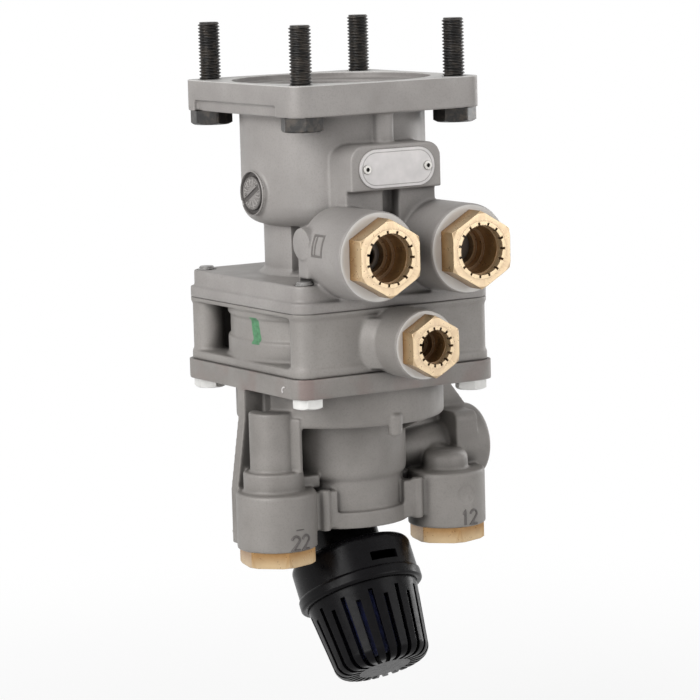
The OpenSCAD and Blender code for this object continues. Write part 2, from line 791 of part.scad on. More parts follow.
// Outer form of the lower housing
module lower_form() {
    plate(lower_flange_w, lower_corner_r, lower_flange_z, joint_2);
    rotate_extrude() {
        turned_step(wide_band_r, wide_foot_z, lower_flange_z + eps, wide_band_round);
        turned_step(body_r, body_foot_z, wide_foot_z + eps, body_round);
        translate([0, foot_z]) square([waist_r, body_foot_z - foot_z + eps]);
        turned_step(foot_r, foot_z, foot_z + foot_h, edge_round / 2);
    }
    left_tower();
    right_tower();
    side_fins();
    front_nub();
    foot_webs();
    duct_web();
}

// Nub with rounded ends on the lower edge of the wide band
module front_nub() {
    nub_r = 3.3;
    half_h = 5.2;
    nub_round = 1.6;
    straight = half_h - nub_round;
    translate([0, -wide_band_r + 1.2, wide_foot_z + 0.3]) rotate_extrude() {
        translate([0, -straight]) square([nub_r, 2 * straight]);
        translate([0, -half_h]) square([nub_r - nub_round, 2 * half_h]);
        for (z = [-straight, straight]) translate([nub_r - nub_round, z]) circle(nub_round);
    }
}

// Webs with a round edge that tie the foot ring to the port bosses
module foot_webs() {
    web_x = 24.8;
    web_y = -25.1;
    web_edge_r = 2.5;
    web_top = foot_z + 19;
    for (x = [-1, 1]) {
        translate([x * web_x, web_y, 0]) bar(web_edge_r, foot_z + eps, web_top);
        translate([x * web_x - 7, web_y, foot_z + 1]) cube([14, 4, web_top - foot_z - 2]);
        translate([x * web_x - 2, web_y, foot_z + 1]) cube([4, 12, web_top - foot_z - 3]);
    }
}

// Sloping web under the wide band, in front of the side duct
module duct_web() {
    web_drop = 7.5;
    near_x = 18;
    near_y = -36;
    intersection() {
        translate([0, 0, wide_foot_z - web_drop]) {
            cylinder(h = web_drop + eps, r1 = body_r - 1, r2 = wide_band_r - 1);
        }
        translate([near_x, near_y, wide_foot_z - web_drop - eps]) {
            cube([wide_band_r - near_x, -near_y - 2, web_drop + 3 * eps]);
        }
    }
}

// Boss of the left bottom port with its collar and tower
module left_tower() {
    boss_top = bottom_face_z + bottom_boss_h;
    translate([left_port.x, left_port.y, bottom_face_z]) boss(bottom_boss_r, bottom_boss_h);
    translate([tower_at.x, tower_at.y, 0]) {
        bar(tower_collar_r, boss_top - eps, boss_top + tower_collar_h);
        bar(tower_r, boss_top, joint_2 - tower_depth);
    }
    // Bracket from the collar to the body, and the web behind the tower
    translate([tower_at.x, tower_at.y - 4, boss_top - 1]) cube([-tower_at.x - body_r + 6, 10, 6]);
    translate([tower_at.x, tower_at.y + 7, boss_top]) {
        cube([-tower_at.x - body_r + 8, 4, joint_2 - tower_depth - boss_top - 4]);
    }
    // Thin rib from the tower to the wide band
    rib_t = 2.6;
    rib_reach = 14.7;
    rib_turn = -59;
    translate([tower_at.x, tower_at.y, boss_top + tower_collar_h - eps]) rotate([0, 0, rib_turn]) {
        translate([0, -rib_t / 2, 0]) cube([rib_reach, rib_t, wide_foot_z + 5 - boss_top - tower_collar_h]);
    }
}

// Boss of the right bottom port with its dome, and the blank side boss
module right_tower() {
    boss_top = bottom_face_z + bottom_boss_h;
    dome_h = 9;
    dome_round = 4.5;
    translate([right_port.x, right_port.y, bottom_face_z]) boss(bottom_boss_r, bottom_boss_h);
    translate([right_port.x, right_port.y, boss_top - eps]) boss(dome_r, dome_h + eps, dome_round);
    duct_end = blank_boss_reach - blank_boss_length;
    translate([duct_end, 0, blank_z]) rotate([0, 90, 0]) boss(blank_boss_r, blank_boss_length, 3);
    blank_shoulder(duct_end);
    translate([body_r - 5, 0, blank_z]) rotate([0, 90, 0]) {
        cylinder(h = duct_end - body_r + 5.5, r1 = 9, r2 = 12.5);
    }
    rod([right_port.x, right_port.y, boss_top - 2], [right_port.x, 0, blank_z], dome_r - 2);
}

// Square shoulder over the root of the blank boss, with a rounded upper front edge
module blank_shoulder(root_x) {
    shoulder_l = 12;
    shoulder_round = 4;
    side = blank_boss_r - 0.4;
    top = blank_boss_r - 1;
    low = -4;
    translate([root_x, 0, blank_z]) {
        translate([0, -side, low]) cube([shoulder_l, side, top - shoulder_round - low]);
        translate([0, shoulder_round - side, low]) cube([shoulder_l, side - shoulder_round, top - low]);
        translate([0, shoulder_round - side, top - shoulder_round]) {
            rotate([0, 90, 0]) cylinder(h = shoulder_l, r = shoulder_round);
        }
    }
}

// Upright fins on both sides, under the flange
module side_fins() {
    left_out = bottom_port_x + 11.5;
    straight = 13;
    translate([0, -fin_t / 2, 0]) rotate([90, 0, 0]) mirror([0, 0, 1]) linear_extrude(fin_t) {
        polygon([
            [-fin_reach_top, lower_flange_z + eps],
            [-fin_reach_top, lower_flange_z - straight],
            [-left_out, body_foot_z],
            [-left_out, bottom_face_z],
            [-bottom_port_x, bottom_face_z],
            [-body_r + 2, body_foot_z + 6],
            [-body_r + 2, lower_flange_z + eps]
        ]);
        polygon([
            [fin_reach_top, lower_flange_z + eps],
            [blank_boss_reach - 3, blank_z + blank_boss_r - 2],
            [blank_boss_reach - 3, blank_z],
            [body_r - 2, blank_z],
            [body_r - 2, lower_flange_z + eps]
        ]);
    }
}

// Hollow of the lower housing: relay chamber, valve chamber, seats and grooves
module lower_hollow() {
    bar(relay_chamber_r, chamber_floor_z, joint_2 + eps);
    bar(seat_hole_r, seat_2_z - eps, chamber_floor_z + eps);
    bar(lower_chamber_r, foot_z - eps, seat_2_z);
    bar(lower_chamber_r + ring_groove, guide_2_foot - guide_ring_t, guide_2_foot);
    ring(relay_chamber_r + 2 + joint_seal_w, relay_chamber_r + 2, joint_2 - joint_seal_h, joint_2 + eps);
    for (at = [left_port, right_port]) {
        at_bottom(at) shank_hole(large_shank_r, large_shank_l);
    }
    tower_top = joint_2 - tower_depth;
    passage_z = tower_top - bottom_passage_r - 4;
    shank_z = bottom_face_z + large_shank_l - eps;
    translate([left_port.x, left_port.y, shank_z]) {
        cylinder(h = passage_z - shank_z, r = bottom_passage_r);
    }
    rod([left_port.x, left_port.y, passage_z - 1], [-24, -9, joint_2 - 9], bottom_passage_r - 1);
    turn_z = bottom_face_z + bottom_boss_h - 1;
    translate([right_port.x, right_port.y, shank_z]) {
        cylinder(h = turn_z - shank_z, r = bottom_passage_r);
    }
    rod([right_port.x, right_port.y, turn_z - 2], [right_port.x, 0, blank_z], bottom_passage_r - 0.7);
    translate([lower_chamber_r - 3, 0, blank_z]) rotate([0, 90, 0]) {
        cylinder(h = blank_boss_reach - lower_chamber_r - 4, r = bottom_passage_r);
    }
}

// Pocket in the wide band beside the left fin
module fin_pocket() {
    pocket_y = 13.5;
    pocket_wall = 4;
    translate([-wide_band_r - 1, -pocket_y, wide_foot_z - eps]) {
        cube([
            wide_band_r + 1 - relay_chamber_r - pocket_wall,
            pocket_y - fin_t / 2,
            lower_flange_z - wide_foot_z + eps
        ]);
    }
}

module lower_housing() {
    color([0.53, 0.52, 0.50]) difference() {
        lower_form();
        lower_hollow();
        fin_pocket();
        at_corners(column_at) bar(screw_d / 2 + hole_play, lower_flange_z - eps, joint_2 + eps);
    }
}

module mounting_bolts() {
    chamfer = 1.2;
    color([0.12, 0.12, 0.12]) at_corners(bolt_at) {
        bar(bolt_d / 2 - bolt_relief, -flange_t - eps, eps);
        bar(bolt_d / 2, 0, bolt_length - flange_t - chamfer);
        translate([0, 0, bolt_length - flange_t - chamfer]) {
            cylinder(h = chamfer, r1 = bolt_d / 2, r2 = bolt_d / 2 - chamfer);
        }
        translate([0, 0, -flange_t]) mirror([0, 0, 1]) hexagon(bolt_head_af, bolt_head_h, 0.6);
    }
}

module housing_screws() {
    tip = joint_flange_z + screw_tip_out;
    chamfer = 0.8;
    color([0.85, 0.85, 0.83]) at_corners(column_at) {
        bar(screw_d / 2, lower_flange_z - eps, tip - chamfer);
        translate([0, 0, tip - chamfer]) {
            cylinder(h = chamfer, r1 = screw_d / 2, r2 = screw_d / 2 - chamfer);
        }
        translate([0, 0, lower_flange_z]) mirror([0, 0, 1]) hexagon(screw_head_af, screw_head_h, 0.5);
    }
}

module nameplate() {
    color([0.86, 0.86, 0.85]) difference() {
        translate([0, -block_reach, -plate_drop]) rotate([90, 0, 0]) linear_extrude(plate_t) {
            square([plate_w - plate_h, plate_h], center = true);
            for (x = [-1, 1]) translate([x * (plate_w - plate_h) / 2, 0]) circle(plate_h / 2);
        }
        for (x = [-1, 1]) at_front(x * rivet_spacing / 2, block_reach, -plate_drop) {
            translate([0, 0, -eps]) cylinder(h = plate_t + 2 * eps, r = rivet_shank_r);
        }
    }
}

module nameplate_rivets() {
    head_h = 0.7;
    color([0.75, 0.75, 0.74]) for (x = [-1, 1]) {
        at_front(x * rivet_spacing / 2, block_reach, -plate_drop) difference() {
            union() {
                translate([0, 0, -5]) cylinder(h = 5 + plate_t, r = rivet_shank_r);
                translate([0, 0, plate_t]) boss(rivet_r, head_h, 0.3);
            }
            translate([0, 0, plate_t - 0.6]) cylinder(h = head_h + 1, r = rivet_shank_r * 0.75);
        }
    }
}

// Brass connector with a stepped bore, drawn along +Z from its boss' face
module connector(af, hex_h, turn, shank_r, shank_l, bore_r) {
    step_1 = bore_r - 1.4;
    step_2 = bore_r - 3;
    wide_depth = hex_h + shank_l / 3;
    color([0.83, 0.69, 0.42]) difference() {
        union() {
            rotate([0, 0, turn]) hexagon(af, hex_h, 0.7);
            translate([0, 0, -shank_l]) cylinder(h = shank_l + eps, r = shank_r);
        }
        translate([0, 0, hex_h - wide_depth]) cylinder(h = wide_depth + eps, r = bore_r);
        translate([0, 0, hex_h - wide_depth - shank_l / 3]) cylinder(h = shank_l, r = step_1);
        translate([0, 0, -shank_l - eps]) cylinder(h = shank_l, r = step_2);
        translate([0, 0, hex_h - collet_t]) cylinder(h = collet_t + eps, r = collet_r(bore_r));
    }
}

function collet_r(bore_r) = bore_r + collet_ease + collet_wall;

// Notched retaining ring in a connector's mouth, drawn along +Z from its boss' face
module collet(hex_h, bore_r) {
    r_in = bore_r + collet_ease;
    notch_depth = 0.6 * collet_t;
    color([0.62, 0.47, 0.22]) difference() {
        ring(r_in + collet_wall, r_in, hex_h - collet_t, hex_h);
        for (i = [0:collet_notches - 1]) rotate([0, 0, 360 * i / collet_notches]) {
            translate([r_in - eps, -notch_w / 2, hex_h - notch_depth]) {
                cube([0.7 * collet_wall + eps, notch_w, notch_depth + eps]);
            }
        }
    }
}

// Seal ring in the chamfer under a connector's hexagon, drawn along +Z
module port_seal(shank_r) {
    color([0.08, 0.08, 0.08]) translate([0, 0, -port_seal_w]) {
        seal_ring(shank_r + port_seal_w, shank_r, 0, port_seal_w);
    }
}

module large_front(x) {
    at_front(x * front_port_spacing / 2, front_boss_reach, front_port_z) {
        connector(large_af, large_hex_h, 30, large_shank_r, large_shank_l, large_bore_r);
    }
}

module large_front_collet(x) {
    at_front(x * front_port_spacing / 2, front_boss_reach, front_port_z) {
        collet(large_hex_h, large_bore_r);
    }
}

module large_front_seal(x) {
    at_front(x * front_port_spacing / 2, front_boss_reach, front_port_z) port_seal(large_shank_r);
}

module control_connector() {
    at_front(0, control_boss_reach, control_port_z) {
        connector(small_af, small_hex_h, 30, small_shank_r, small_shank_l, small_bore_r);
    }
}

module control_collet() {
    at_front(0, control_boss_reach, control_port_z) collet(small_hex_h, small_bore_r);
}

module control_seal() {
    at_front(0, control_boss_reach, control_port_z) port_seal(small_shank_r);
}

module bottom_connector(at) {
    at_bottom(at) {
        connector(large_af, bottom_hex_h, -bottom_hex_turn, large_shank_r, large_shank_l, large_bore_r);
    }
}

module bottom_collet(at) {
    at_bottom(at) collet(bottom_hex_h, large_bore_r);
}

module bottom_seal(at) {
    at_bottom(at) port_seal(large_shank_r);
}

module upper_joint_seal() {
    color([0.08, 0.08, 0.08]) {
        ring(relay_bore_r + 1.4 + joint_seal_w, relay_bore_r + 1.4, joint_1 - joint_seal_h, joint_1);
    }
}

module lower_joint_seal() {
    color([0.08, 0.08, 0.08]) {
        ring(relay_chamber_r + 2 + joint_seal_w, relay_chamber_r + 2, joint_2 - joint_seal_h, joint_2);
    }
}

// Open retaining ring with a gap at the back
module snap_ring(r_out, r_in, z_low, z_high) {
    gap = 8;
    color([0.30, 0.30, 0.31]) difference() {
        ring(r_out, r_in, z_low, z_high);
        translate([-gap / 2, 0, z_low - eps]) cube([gap, r_out + eps, z_high - z_low + 2 * eps]);
    }
}

module cover_ring() {
    snap_ring(guide_bore_r + ring_groove - seal_ease, guide_bore_r - 4, cover_z, -cover_depth);
}

module guide_plate() {
    color([0.62, 0.62, 0.60]) {
        ring(guide_bore_r - seal_ease, plunger_r + running_gap, guide_plate_z, cover_z);
    }
}

// Rubber wiper round the plunger, on the guide plate
module dust_wiper() {
    lip = plunger_r + running_gap;
    rim = piston_bore_r - 4;
    color([0.06, 0.06, 0.06]) rotate_extrude() polygon([
        [lip, cover_z],
        [rim, cover_z],
        [rim, cover_z + 1.2],
        [lip + 4, cover_z + 2],
        [lip + 1.6, cover_z + 6],
        [lip, cover_z + 6]
    ]);
}

module plunger() {
    top = cover_z + plunger_rise;
    color([0.16, 0.16, 0.17]) difference() {
        union() {
            translate([0, 0, guide_plate_z - eps]) boss(plunger_r, top - guide_plate_z + eps, 1);
            bar(plunger_foot_r, plunger_foot_z, guide_plate_z);
        }
        translate([0, 0, top + 2]) sphere(plunger_cup_r);
    }
}

module rubber_spring() {
    waist = 1.5;
    color([0.07, 0.07, 0.07]) rotate_extrude() polygon([
        [rubber_hole_r, piston_cup_z],
        [rubber_r, piston_cup_z],
        [rubber_r - waist, piston_cup_z + rubber_h / 2],
        [rubber_r, plunger_foot_z],
        [rubber_hole_r, plunger_foot_z]
    ]);
}

module upper_piston() {
    rim = piston_cup_z + piston_skirt_h;
    groove_z = piston_cup_z - 0.5;
    stem_end = seat_1_z + upper_valve_gap;
    color([0.66, 0.66, 0.64]) difference() {
        union() {
            bar(piston_r, piston_foot_z, rim);
            bar(piston_stem_r, stem_end, piston_foot_z + eps);
        }
        bar(piston_r - piston_wall, piston_cup_z, rim + eps);
        bar(rubber_hole_r - 1, stem_end - eps, piston_cup_z + eps);
        ring(piston_r + eps, piston_r - seal_groove, groove_z, groove_z + seal_groove_h);
    }
}

module upper_piston_seal() {
    low = piston_cup_z - 0.5;
    color([0.08, 0.08, 0.08]) {
        seal_ring(piston_r, piston_r - seal_groove, low + seal_ease, low + seal_groove_h - seal_ease);
    }
}

module piston_return_spring() {
    color([0.5, 0.5, 0.52]) coil(piston_spring_r, bore_floor_z, piston_foot_z, wide_spring_turns);
}

// Hollow double valve: head, tube and a groove-free shank, with its top at one height
module double_valve(head_z, tube_end) {
    color([0.70, 0.70, 0.69]) difference() {
        union() {
            bar(valve_head_r, head_z - valve_head_t, head_z);
            bar(tube_r, tube_end, head_z);
        }
        bar(tube_bore_r, tube_end - eps, head_z + eps);
    }
}

module upper_valve() {
    double_valve(seat_1_z - valve_rubber_t, relay_top_z - tube_engage);
}

module upper_valve_rubber() {
    color([0.07, 0.07, 0.07]) ring(valve_head_r, tube_bore_r, seat_1_z - valve_rubber_t, seat_1_z);
}

module upper_valve_spring() {
    head = seat_1_z - valve_rubber_t - valve_head_t;
    color([0.5, 0.5, 0.52]) coil(valve_spring_r, guide_1_top, head, valve_spring_turns);
}

// Stepped guide bush for a valve tube, in its chamber
module valve_guide(chamber_r, low, high) {
    color([0.60, 0.60, 0.58]) difference() {
        bar(chamber_r - seal_ease, low, high);
        bar(tube_r + running_gap, low - eps, high + eps);
        ring(chamber_r - 5, tube_r + 4, low - eps, high - 4);
    }
}

module upper_valve_guide() {
    valve_guide(neck_chamber_r, guide_1_foot, guide_1_top);
}

module upper_guide_ring() {
    snap_ring(
        neck_chamber_r + ring_groove - seal_ease, neck_chamber_r - 3,
        guide_1_foot - guide_ring_t, guide_1_foot
    );
}

module relay_piston() {
    tip = seat_2_z + lower_valve_gap;
    groove_z = relay_foot_z + (relay_head_t - seal_groove_h) / 2;
    color([0.66, 0.66, 0.64]) difference() {
        union() {
            bar(relay_r, relay_foot_z, relay_top_z);
            bar(relay_stem_r, joint_2 - relay_travel - 2, relay_foot_z + eps);
            bar(relay_tip_r, tip, relay_foot_z);
        }
        bar(tube_r + running_gap, tip - eps, relay_top_z + eps);
        ring(relay_r + eps, relay_r - seal_groove, groove_z, groove_z + seal_groove_h);
        ring(relay_r - seal_groove - 3, relay_stem_r + 2, relay_top_z - 1.5, relay_top_z + eps);
    }
}

module relay_piston_seal() {
    low = relay_foot_z + (relay_head_t - seal_groove_h) / 2;
    color([0.08, 0.08, 0.08]) {
        seal_ring(relay_r, relay_r - seal_groove, low + seal_ease, low + seal_groove_h - seal_ease);
    }
}

module relay_stem_seal() {
    low = joint_2 + (middle_floor - seal_groove_h) / 2;
    color([0.08, 0.08, 0.08]) {
        ring(relay_stem_r + seal_groove, relay_stem_r + running_gap, low, low + seal_groove_h);
    }
}

module relay_return_spring() {
    color([0.5, 0.5, 0.52]) coil(relay_spring_r, middle_floor_z, relay_foot_z, wide_spring_turns);
}

module lower_valve() {
    double_valve(seat_2_z - valve_rubber_t, guide_2_foot - tube_below);
}

module lower_valve_rubber() {
    color([0.07, 0.07, 0.07]) ring(valve_head_r, tube_bore_r, seat_2_z - valve_rubber_t, seat_2_z);
}

module lower_valve_spring() {
    head = seat_2_z - valve_rubber_t - valve_head_t;
    color([0.5, 0.5, 0.52]) coil(valve_spring_r, guide_2_top, head, valve_spring_turns);
}

module lower_valve_guide() {
    valve_guide(lower_chamber_r, guide_2_foot, guide_2_top);
}

module lower_guide_ring() {
    snap_ring(
        lower_chamber_r + ring_groove - seal_ease, lower_chamber_r - 3,
        guide_2_foot - guide_ring_t, guide_2_foot
    );
}

// Puts a piece that is drawn downwards from the pivot into the silencer's slant
module slanted() {
    translate([0, 0, foot_z - silencer_pivot_drop]) rotate([-silencer_tilt, 0, 0]) children();
}

// Outline of the collar, with a rounded top edge and a lip round its mouth
module collar_outline() {
    rim = -cage_start;
    top_y = -collar_start - collar_round;
    e = collar_lip / 4;
    polygon([
        [0, rim],
        [collar_top_r - e, rim],
        [collar_top_r, rim + e],
        [collar_top_r, top_y],
        [collar_top_r - collar_round, top_y],
        [collar_top_r - collar_round, -collar_start],
        [0, -collar_start]
    ]);
    translate([collar_top_r - collar_round, top_y]) circle(collar_round);
    translate([0, rim + e]) square([collar_mouth_r, collar_lip - 2 * e]);
    translate([0, rim]) square([collar_mouth_r - e, collar_lip]);
    for (y = [rim + e, rim + collar_lip - e]) translate([collar_mouth_r - e, y]) circle(e);
}

// Black holder: flange in the housing's foot, slanted neck and collar
module silencer_holder() {
    top = foot_z + spigot_depth;
    rim = -cage_start;
    inside_top = -collar_start - 3;
    color([0.05, 0.05, 0.05]) difference() {
        union() {
            bar(lower_chamber_r - seal_ease, foot_z - eps, top);
            intersection() {
                slanted() translate([0, 0, inside_top]) cylinder(h = 60, r = silencer_neck_r);
                bar(bowl_r, foot_z - 60, foot_z);
            }
            slanted() rotate_extrude() collar_outline();
        }
        bar(silencer_bore_r + 4.5, top - spigot_recess, top + eps);
        slanted() {
            translate([0, 0, rim - eps]) {
                cylinder(h = inside_top - rim + eps, r = cage_top_r + 0.2);
            }
            translate([0, 0, inside_top - 1]) cylinder(h = 60, r = silencer_bore_r);
            rotate([0, 0, -window_turn]) {
                translate([collar_top_r - collar_round, -window_w / 2, rim + 0.38 * collar_length]) {
                    cube([collar_round + 3, window_w, window_h]);
                }
            }
        }
    }
}

// Outline of the cage between its top and its rounded foot, shrunk by an inset
module cage_outline(inset, rise) {
    top = -cage_start + cage_overlap + rise;
    r_top = cage_top_r - inset;
    r_foot = cage_foot_r - inset;
    round_r = max(cage_round - inset, 1);
    end = -cage_end + inset;
    polygon([
        [0, end],
        [r_foot - round_r, end],
        [r_foot - round_r, end + round_r],
        [r_foot, end + round_r],
        [r_top, -cage_start],
        [r_top, top],
        [0, top]
    ]);
    translate([r_foot - round_r, end + round_r]) circle(round_r);
}

module silencer_cage() {
    color([0.05, 0.05, 0.05]) slanted() difference() {
        rotate_extrude() difference() {
            cage_outline(0, 0);
            cage_outline(rib_depth, eps);
        }
        for (i = [0:slot_count - 1]) rotate([0, 0, 360 * (i + 0.5) / slot_count]) {
            // Every second slot starts a little lower
            slot_h = cage_length - slot_drop - (i % 2) * slot_drop;
            translate([cage_hub_r, -slot_w / 2, -cage_end - eps]) {
                cube([cage_top_r, slot_w, slot_h + eps]);
            }
        }
    }
}

// Filter element inside the cage
module silencer_element() {
    inset = rib_depth + element_gap;
    end = -cage_end + rib_depth;
    color([0.05, 0.07, 0.16]) slanted() difference() {
        rotate_extrude() polygon([
            [0, end],
            [cage_foot_r - inset - 2.4, end],
            [cage_foot_r - inset - 0.4, end + 2],
            [cage_top_r - inset, -cage_start],
            [cage_top_r - inset, -cage_start + cage_overlap - 2],
            [0, -cage_start + cage_overlap - 2]
        ]);
        translate([0, 0, end + 6]) cylinder(h = -end, r = silencer_bore_r);
    }
}

upper_housing();
middle_housing();
lower_housing();
mounting_bolts();
housing_screws();
nameplate();
nameplate_rivets();
large_front(-1);  // front_left_connector
large_front(1);  // front_right_connector
control_connector();
bottom_connector(left_port);  // bottom_left_connector
bottom_connector(right_port);  // bottom_right_connector
large_front_collet(-1);  // front_left_collet
large_front_collet(1);  // front_right_collet
control_collet();
bottom_collet(left_port);  // bottom_left_collet
bottom_collet(right_port);  // bottom_right_collet
large_front_seal(-1);  // front_left_seal
large_front_seal(1);  // front_right_seal
control_seal();
bottom_seal(left_port);  // bottom_left_seal
bottom_seal(right_port);  // bottom_right_seal
upper_joint_seal();
lower_joint_seal();
cover_ring();
guide_plate();
dust_wiper();
plunger();
rubber_spring();
upper_piston();
upper_piston_seal();
piston_return_spring();
upper_valve();
upper_valve_rubber();
upper_valve_spring();
upper_valve_guide();
upper_guide_ring();
relay_piston();
relay_piston_seal();
relay_stem_seal();
relay_return_spring();
lower_valve();
lower_valve_rubber();
lower_valve_spring();
lower_valve_guide();
lower_guide_ring();
silencer_holder();
silencer_cage();
silencer_element();
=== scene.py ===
"""Looks of the foot brake valve: cast fillets, threads, marks, materials, light and camera."""

import math

import bmesh
import bpy
import numpy as np
from mathutils import Matrix, Vector


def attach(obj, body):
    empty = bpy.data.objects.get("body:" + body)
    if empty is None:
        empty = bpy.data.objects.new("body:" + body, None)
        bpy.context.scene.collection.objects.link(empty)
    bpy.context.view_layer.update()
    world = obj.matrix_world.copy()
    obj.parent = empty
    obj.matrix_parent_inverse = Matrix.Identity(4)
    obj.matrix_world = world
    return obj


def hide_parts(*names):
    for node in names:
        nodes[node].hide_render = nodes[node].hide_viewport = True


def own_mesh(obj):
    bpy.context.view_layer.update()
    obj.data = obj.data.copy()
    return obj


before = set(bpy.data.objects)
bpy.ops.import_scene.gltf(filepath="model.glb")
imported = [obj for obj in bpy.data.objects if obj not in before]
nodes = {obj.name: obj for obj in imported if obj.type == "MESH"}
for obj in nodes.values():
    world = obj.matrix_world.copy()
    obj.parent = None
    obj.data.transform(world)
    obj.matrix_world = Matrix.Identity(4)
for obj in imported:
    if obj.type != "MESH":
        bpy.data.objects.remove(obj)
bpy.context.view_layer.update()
MM = 0.001

# Heights of the planes where the castings meet, from the mounting flange's top face
FLANGE_TOP = 0.0
UPPER_JOINT = -99.5 * MM
LOWER_JOINT = -128.0 * MM
FOOT_END = -202.0 * MM

# Centre of the date dial's face on the barrel, and its seat
DIAL = Vector((-43.6, 0.0, -49.5)) * MM
DIAL_FIELD_R = 9.9 * MM
DIAL_SUNK = 2.0 * MM


def linear(r, g, b):
    """A display colour from 0 to 255 as the linear values that shaders take."""
    out = []
    for c in (r, g, b):
        c = c / 255
        out.append(c / 12.92 if c <= 0.04045 else ((c + 0.055) / 1.055) ** 2.4)
    return (*out, 1.0)


# Materials

def new_material(name):
    mat = bpy.data.materials.new(name)
    mat.use_nodes = True
    tree = mat.node_tree
    shader = tree.nodes["Principled BSDF"]
    return mat, tree, shader


def add(tree, kind, **values):
    node = tree.nodes.new(kind)
    for key, value in values.items():
        setattr(node, key, value)
    return node


def noise(tree, scale, detail=4.0, rough=0.55, stretch=None):
    """A noise texture in the object's own metres."""
    coords = add(tree, "ShaderNodeTexCoord")
    tex = add(tree, "ShaderNodeTexNoise")
    tex.inputs["Scale"].default_value = scale
    tex.inputs["Detail"].default_value = detail
    tex.inputs["Roughness"].default_value = rough
    if stretch:
        mapping = add(tree, "ShaderNodeMapping")
        mapping.inputs["Scale"].default_value = stretch
        tree.links.new(coords.outputs["Object"], mapping.inputs["Vector"])
        tree.links.new(mapping.outputs["Vector"], tex.inputs["Vector"])
    else:
        tree.links.new(coords.outputs["Object"], tex.inputs["Vector"])
    return tex.outputs["Fac"]


def ramp(tree, fac, stops):
    node = add(tree, "ShaderNodeValToRGB")
    while len(node.color_ramp.elements) < len(stops):
        node.color_ramp.elements.new(0.5)
    for element, (position, colour) in zip(node.color_ramp.elements, stops):
        element.position = position
        element.color = colour
    tree.links.new(fac, node.inputs["Fac"])
    return node.outputs["Color"]


def grey(v):
    return (v, v, v, 1.0)


def put(tree, socket, value):
    """Sets a socket, from a constant or from another node's output."""
    if isinstance(value, bpy.types.NodeSocket):
        tree.links.new(value, socket)
    else:
        socket.default_value = value


def mix(tree, fac, a, b):
    node = add(tree, "ShaderNodeMix", data_type="RGBA")
    put(tree, node.inputs["Factor"], fac)
    put(tree, node.inputs["A"], a)
    put(tree, node.inputs["B"], b)
    return node.outputs["Result"]


def math_node(tree, operation, a, b=0.0, c=0.0):
    node = add(tree, "ShaderNodeMath", operation=operation)
    put(tree, node.inputs[0], a)
    put(tree, node.inputs[1], b)
    put(tree, node.inputs[2], c)
    return node.outputs[0]


def object_xyz(tree):
    coords = add(tree, "ShaderNodeTexCoord")
    split = add(tree, "ShaderNodeSeparateXYZ")
    tree.links.new(coords.outputs["Object"], split.inputs[0])
    return split.outputs


def bump(tree, shader, height, strength, distance, edge=0.0):
    node = add(tree, "ShaderNodeBump")
    node.inputs["Strength"].default_value = strength
    node.inputs["Distance"].default_value = distance
    tree.links.new(height, node.inputs["Height"])
    if edge:
        rounded = add(tree, "ShaderNodeBevel", samples=4)
        rounded.inputs["Radius"].default_value = edge
        tree.links.new(rounded.outputs["Normal"], node.inputs["Normal"])
    tree.links.new(node.outputs["Normal"], shader.inputs["Normal"])


def worn_and_lit_edges(tree, low, high):
    """A mask of 1 on outer edges and 0 on flats, from the surface's pointiness; it lightens edges, partly as
    wear and partly as a painted highlight.
    """
    geometry = add(tree, "ShaderNodeNewGeometry")
    return ramp(tree, geometry.outputs["Pointiness"], [(low, grey(0)), (high, grey(1))])


def within(tree, value, middle, half, soft):
    """A mask of 1 where a value lies within half of the middle, fading out over soft."""
    off = math_node(tree, "ABSOLUTE", math_node(tree, "SUBTRACT", value, middle))
    node = add(tree, "ShaderNodeMapRange", interpolation_type="SMOOTHSTEP")
    tree.links.new(off, node.inputs["Value"])
    node.inputs["From Min"].default_value = half
    node.inputs["From Max"].default_value = half + soft
    node.inputs["To Min"].default_value = 1.0
    node.inputs["To Max"].default_value = 0.0
    return node.outputs["Result"]


def all_of(tree, *masks):
    total = masks[0]
    for mask in masks[1:]:
        total = math_node(tree, "MULTIPLY", total, mask)
    return total


def painted_recess_shade(tree, tone, shade, reach=0.011, low=0.30, high=0.80):
    """Painted shade: darkens a tone in corners and narrow places, where light hardly reaches, by how enclosed
    each place is.
    """
    open_share = add(tree, "ShaderNodeAmbientOcclusion", samples=8)
    open_share.inputs["Distance"].default_value = reach
    hidden = ramp(tree, open_share.outputs["AO"], [(low, grey(0.85)), (high, grey(0))])
    return mix(tree, hidden, tone, shade)


# Green brush stroke on the left of the recessed band
STROKE_Y, STROKE_HALF_W = -8.6 * MM, 2.4 * MM
STROKE_Z, STROKE_HALF_H = -110.3 * MM, 5.8 * MM
STROKE_LEAN, STROKE_LEAN_Z = 0.14, -111.7 * MM
STROKE_WANDER = 1.6 * MM
LEFT_SIDE_X = -40.0 * MM


def paint_stroke(tree, tone):
    """The short green brush stroke across the recessed band of the bowl's left side."""
    x, y, z = object_xyz(tree)
    uneven = math_node(tree, "SUBTRACT", noise(tree, 160.0, 2.0), 0.5)
    wander = math_node(tree, "MULTIPLY", uneven, STROKE_WANDER)
    lean = math_node(tree, "MULTIPLY", math_node(tree, "SUBTRACT", z, STROKE_LEAN_Z), STROKE_LEAN)
    across = math_node(tree, "ADD", math_node(tree, "SUBTRACT", y, lean), wander)
    stroke = all_of(
        tree,
        within(tree, across, STROKE_Y, STROKE_HALF_W, 0.3 * MM),
        within(tree, z, STROKE_Z, STROKE_HALF_H, 0.4 * MM),
        math_node(tree, "LESS_THAN", x, LEFT_SIDE_X))
    paint = mix(tree, ramp(tree, noise(tree, 500.0), [(0.35, grey(0)), (0.65, grey(1))]),
                linear(62, 112, 78), linear(84, 142, 100))
    return mix(tree, math_node(tree, "MULTIPLY", stroke, 0.92), tone, paint)


# Stained rim of the lower flange, and its front corner
STAIN_Z, STAIN_HALF_H = -132.5 * MM, 4.5 * MM
STAIN_X, STAIN_Y = -48.0 * MM, -51.5 * MM


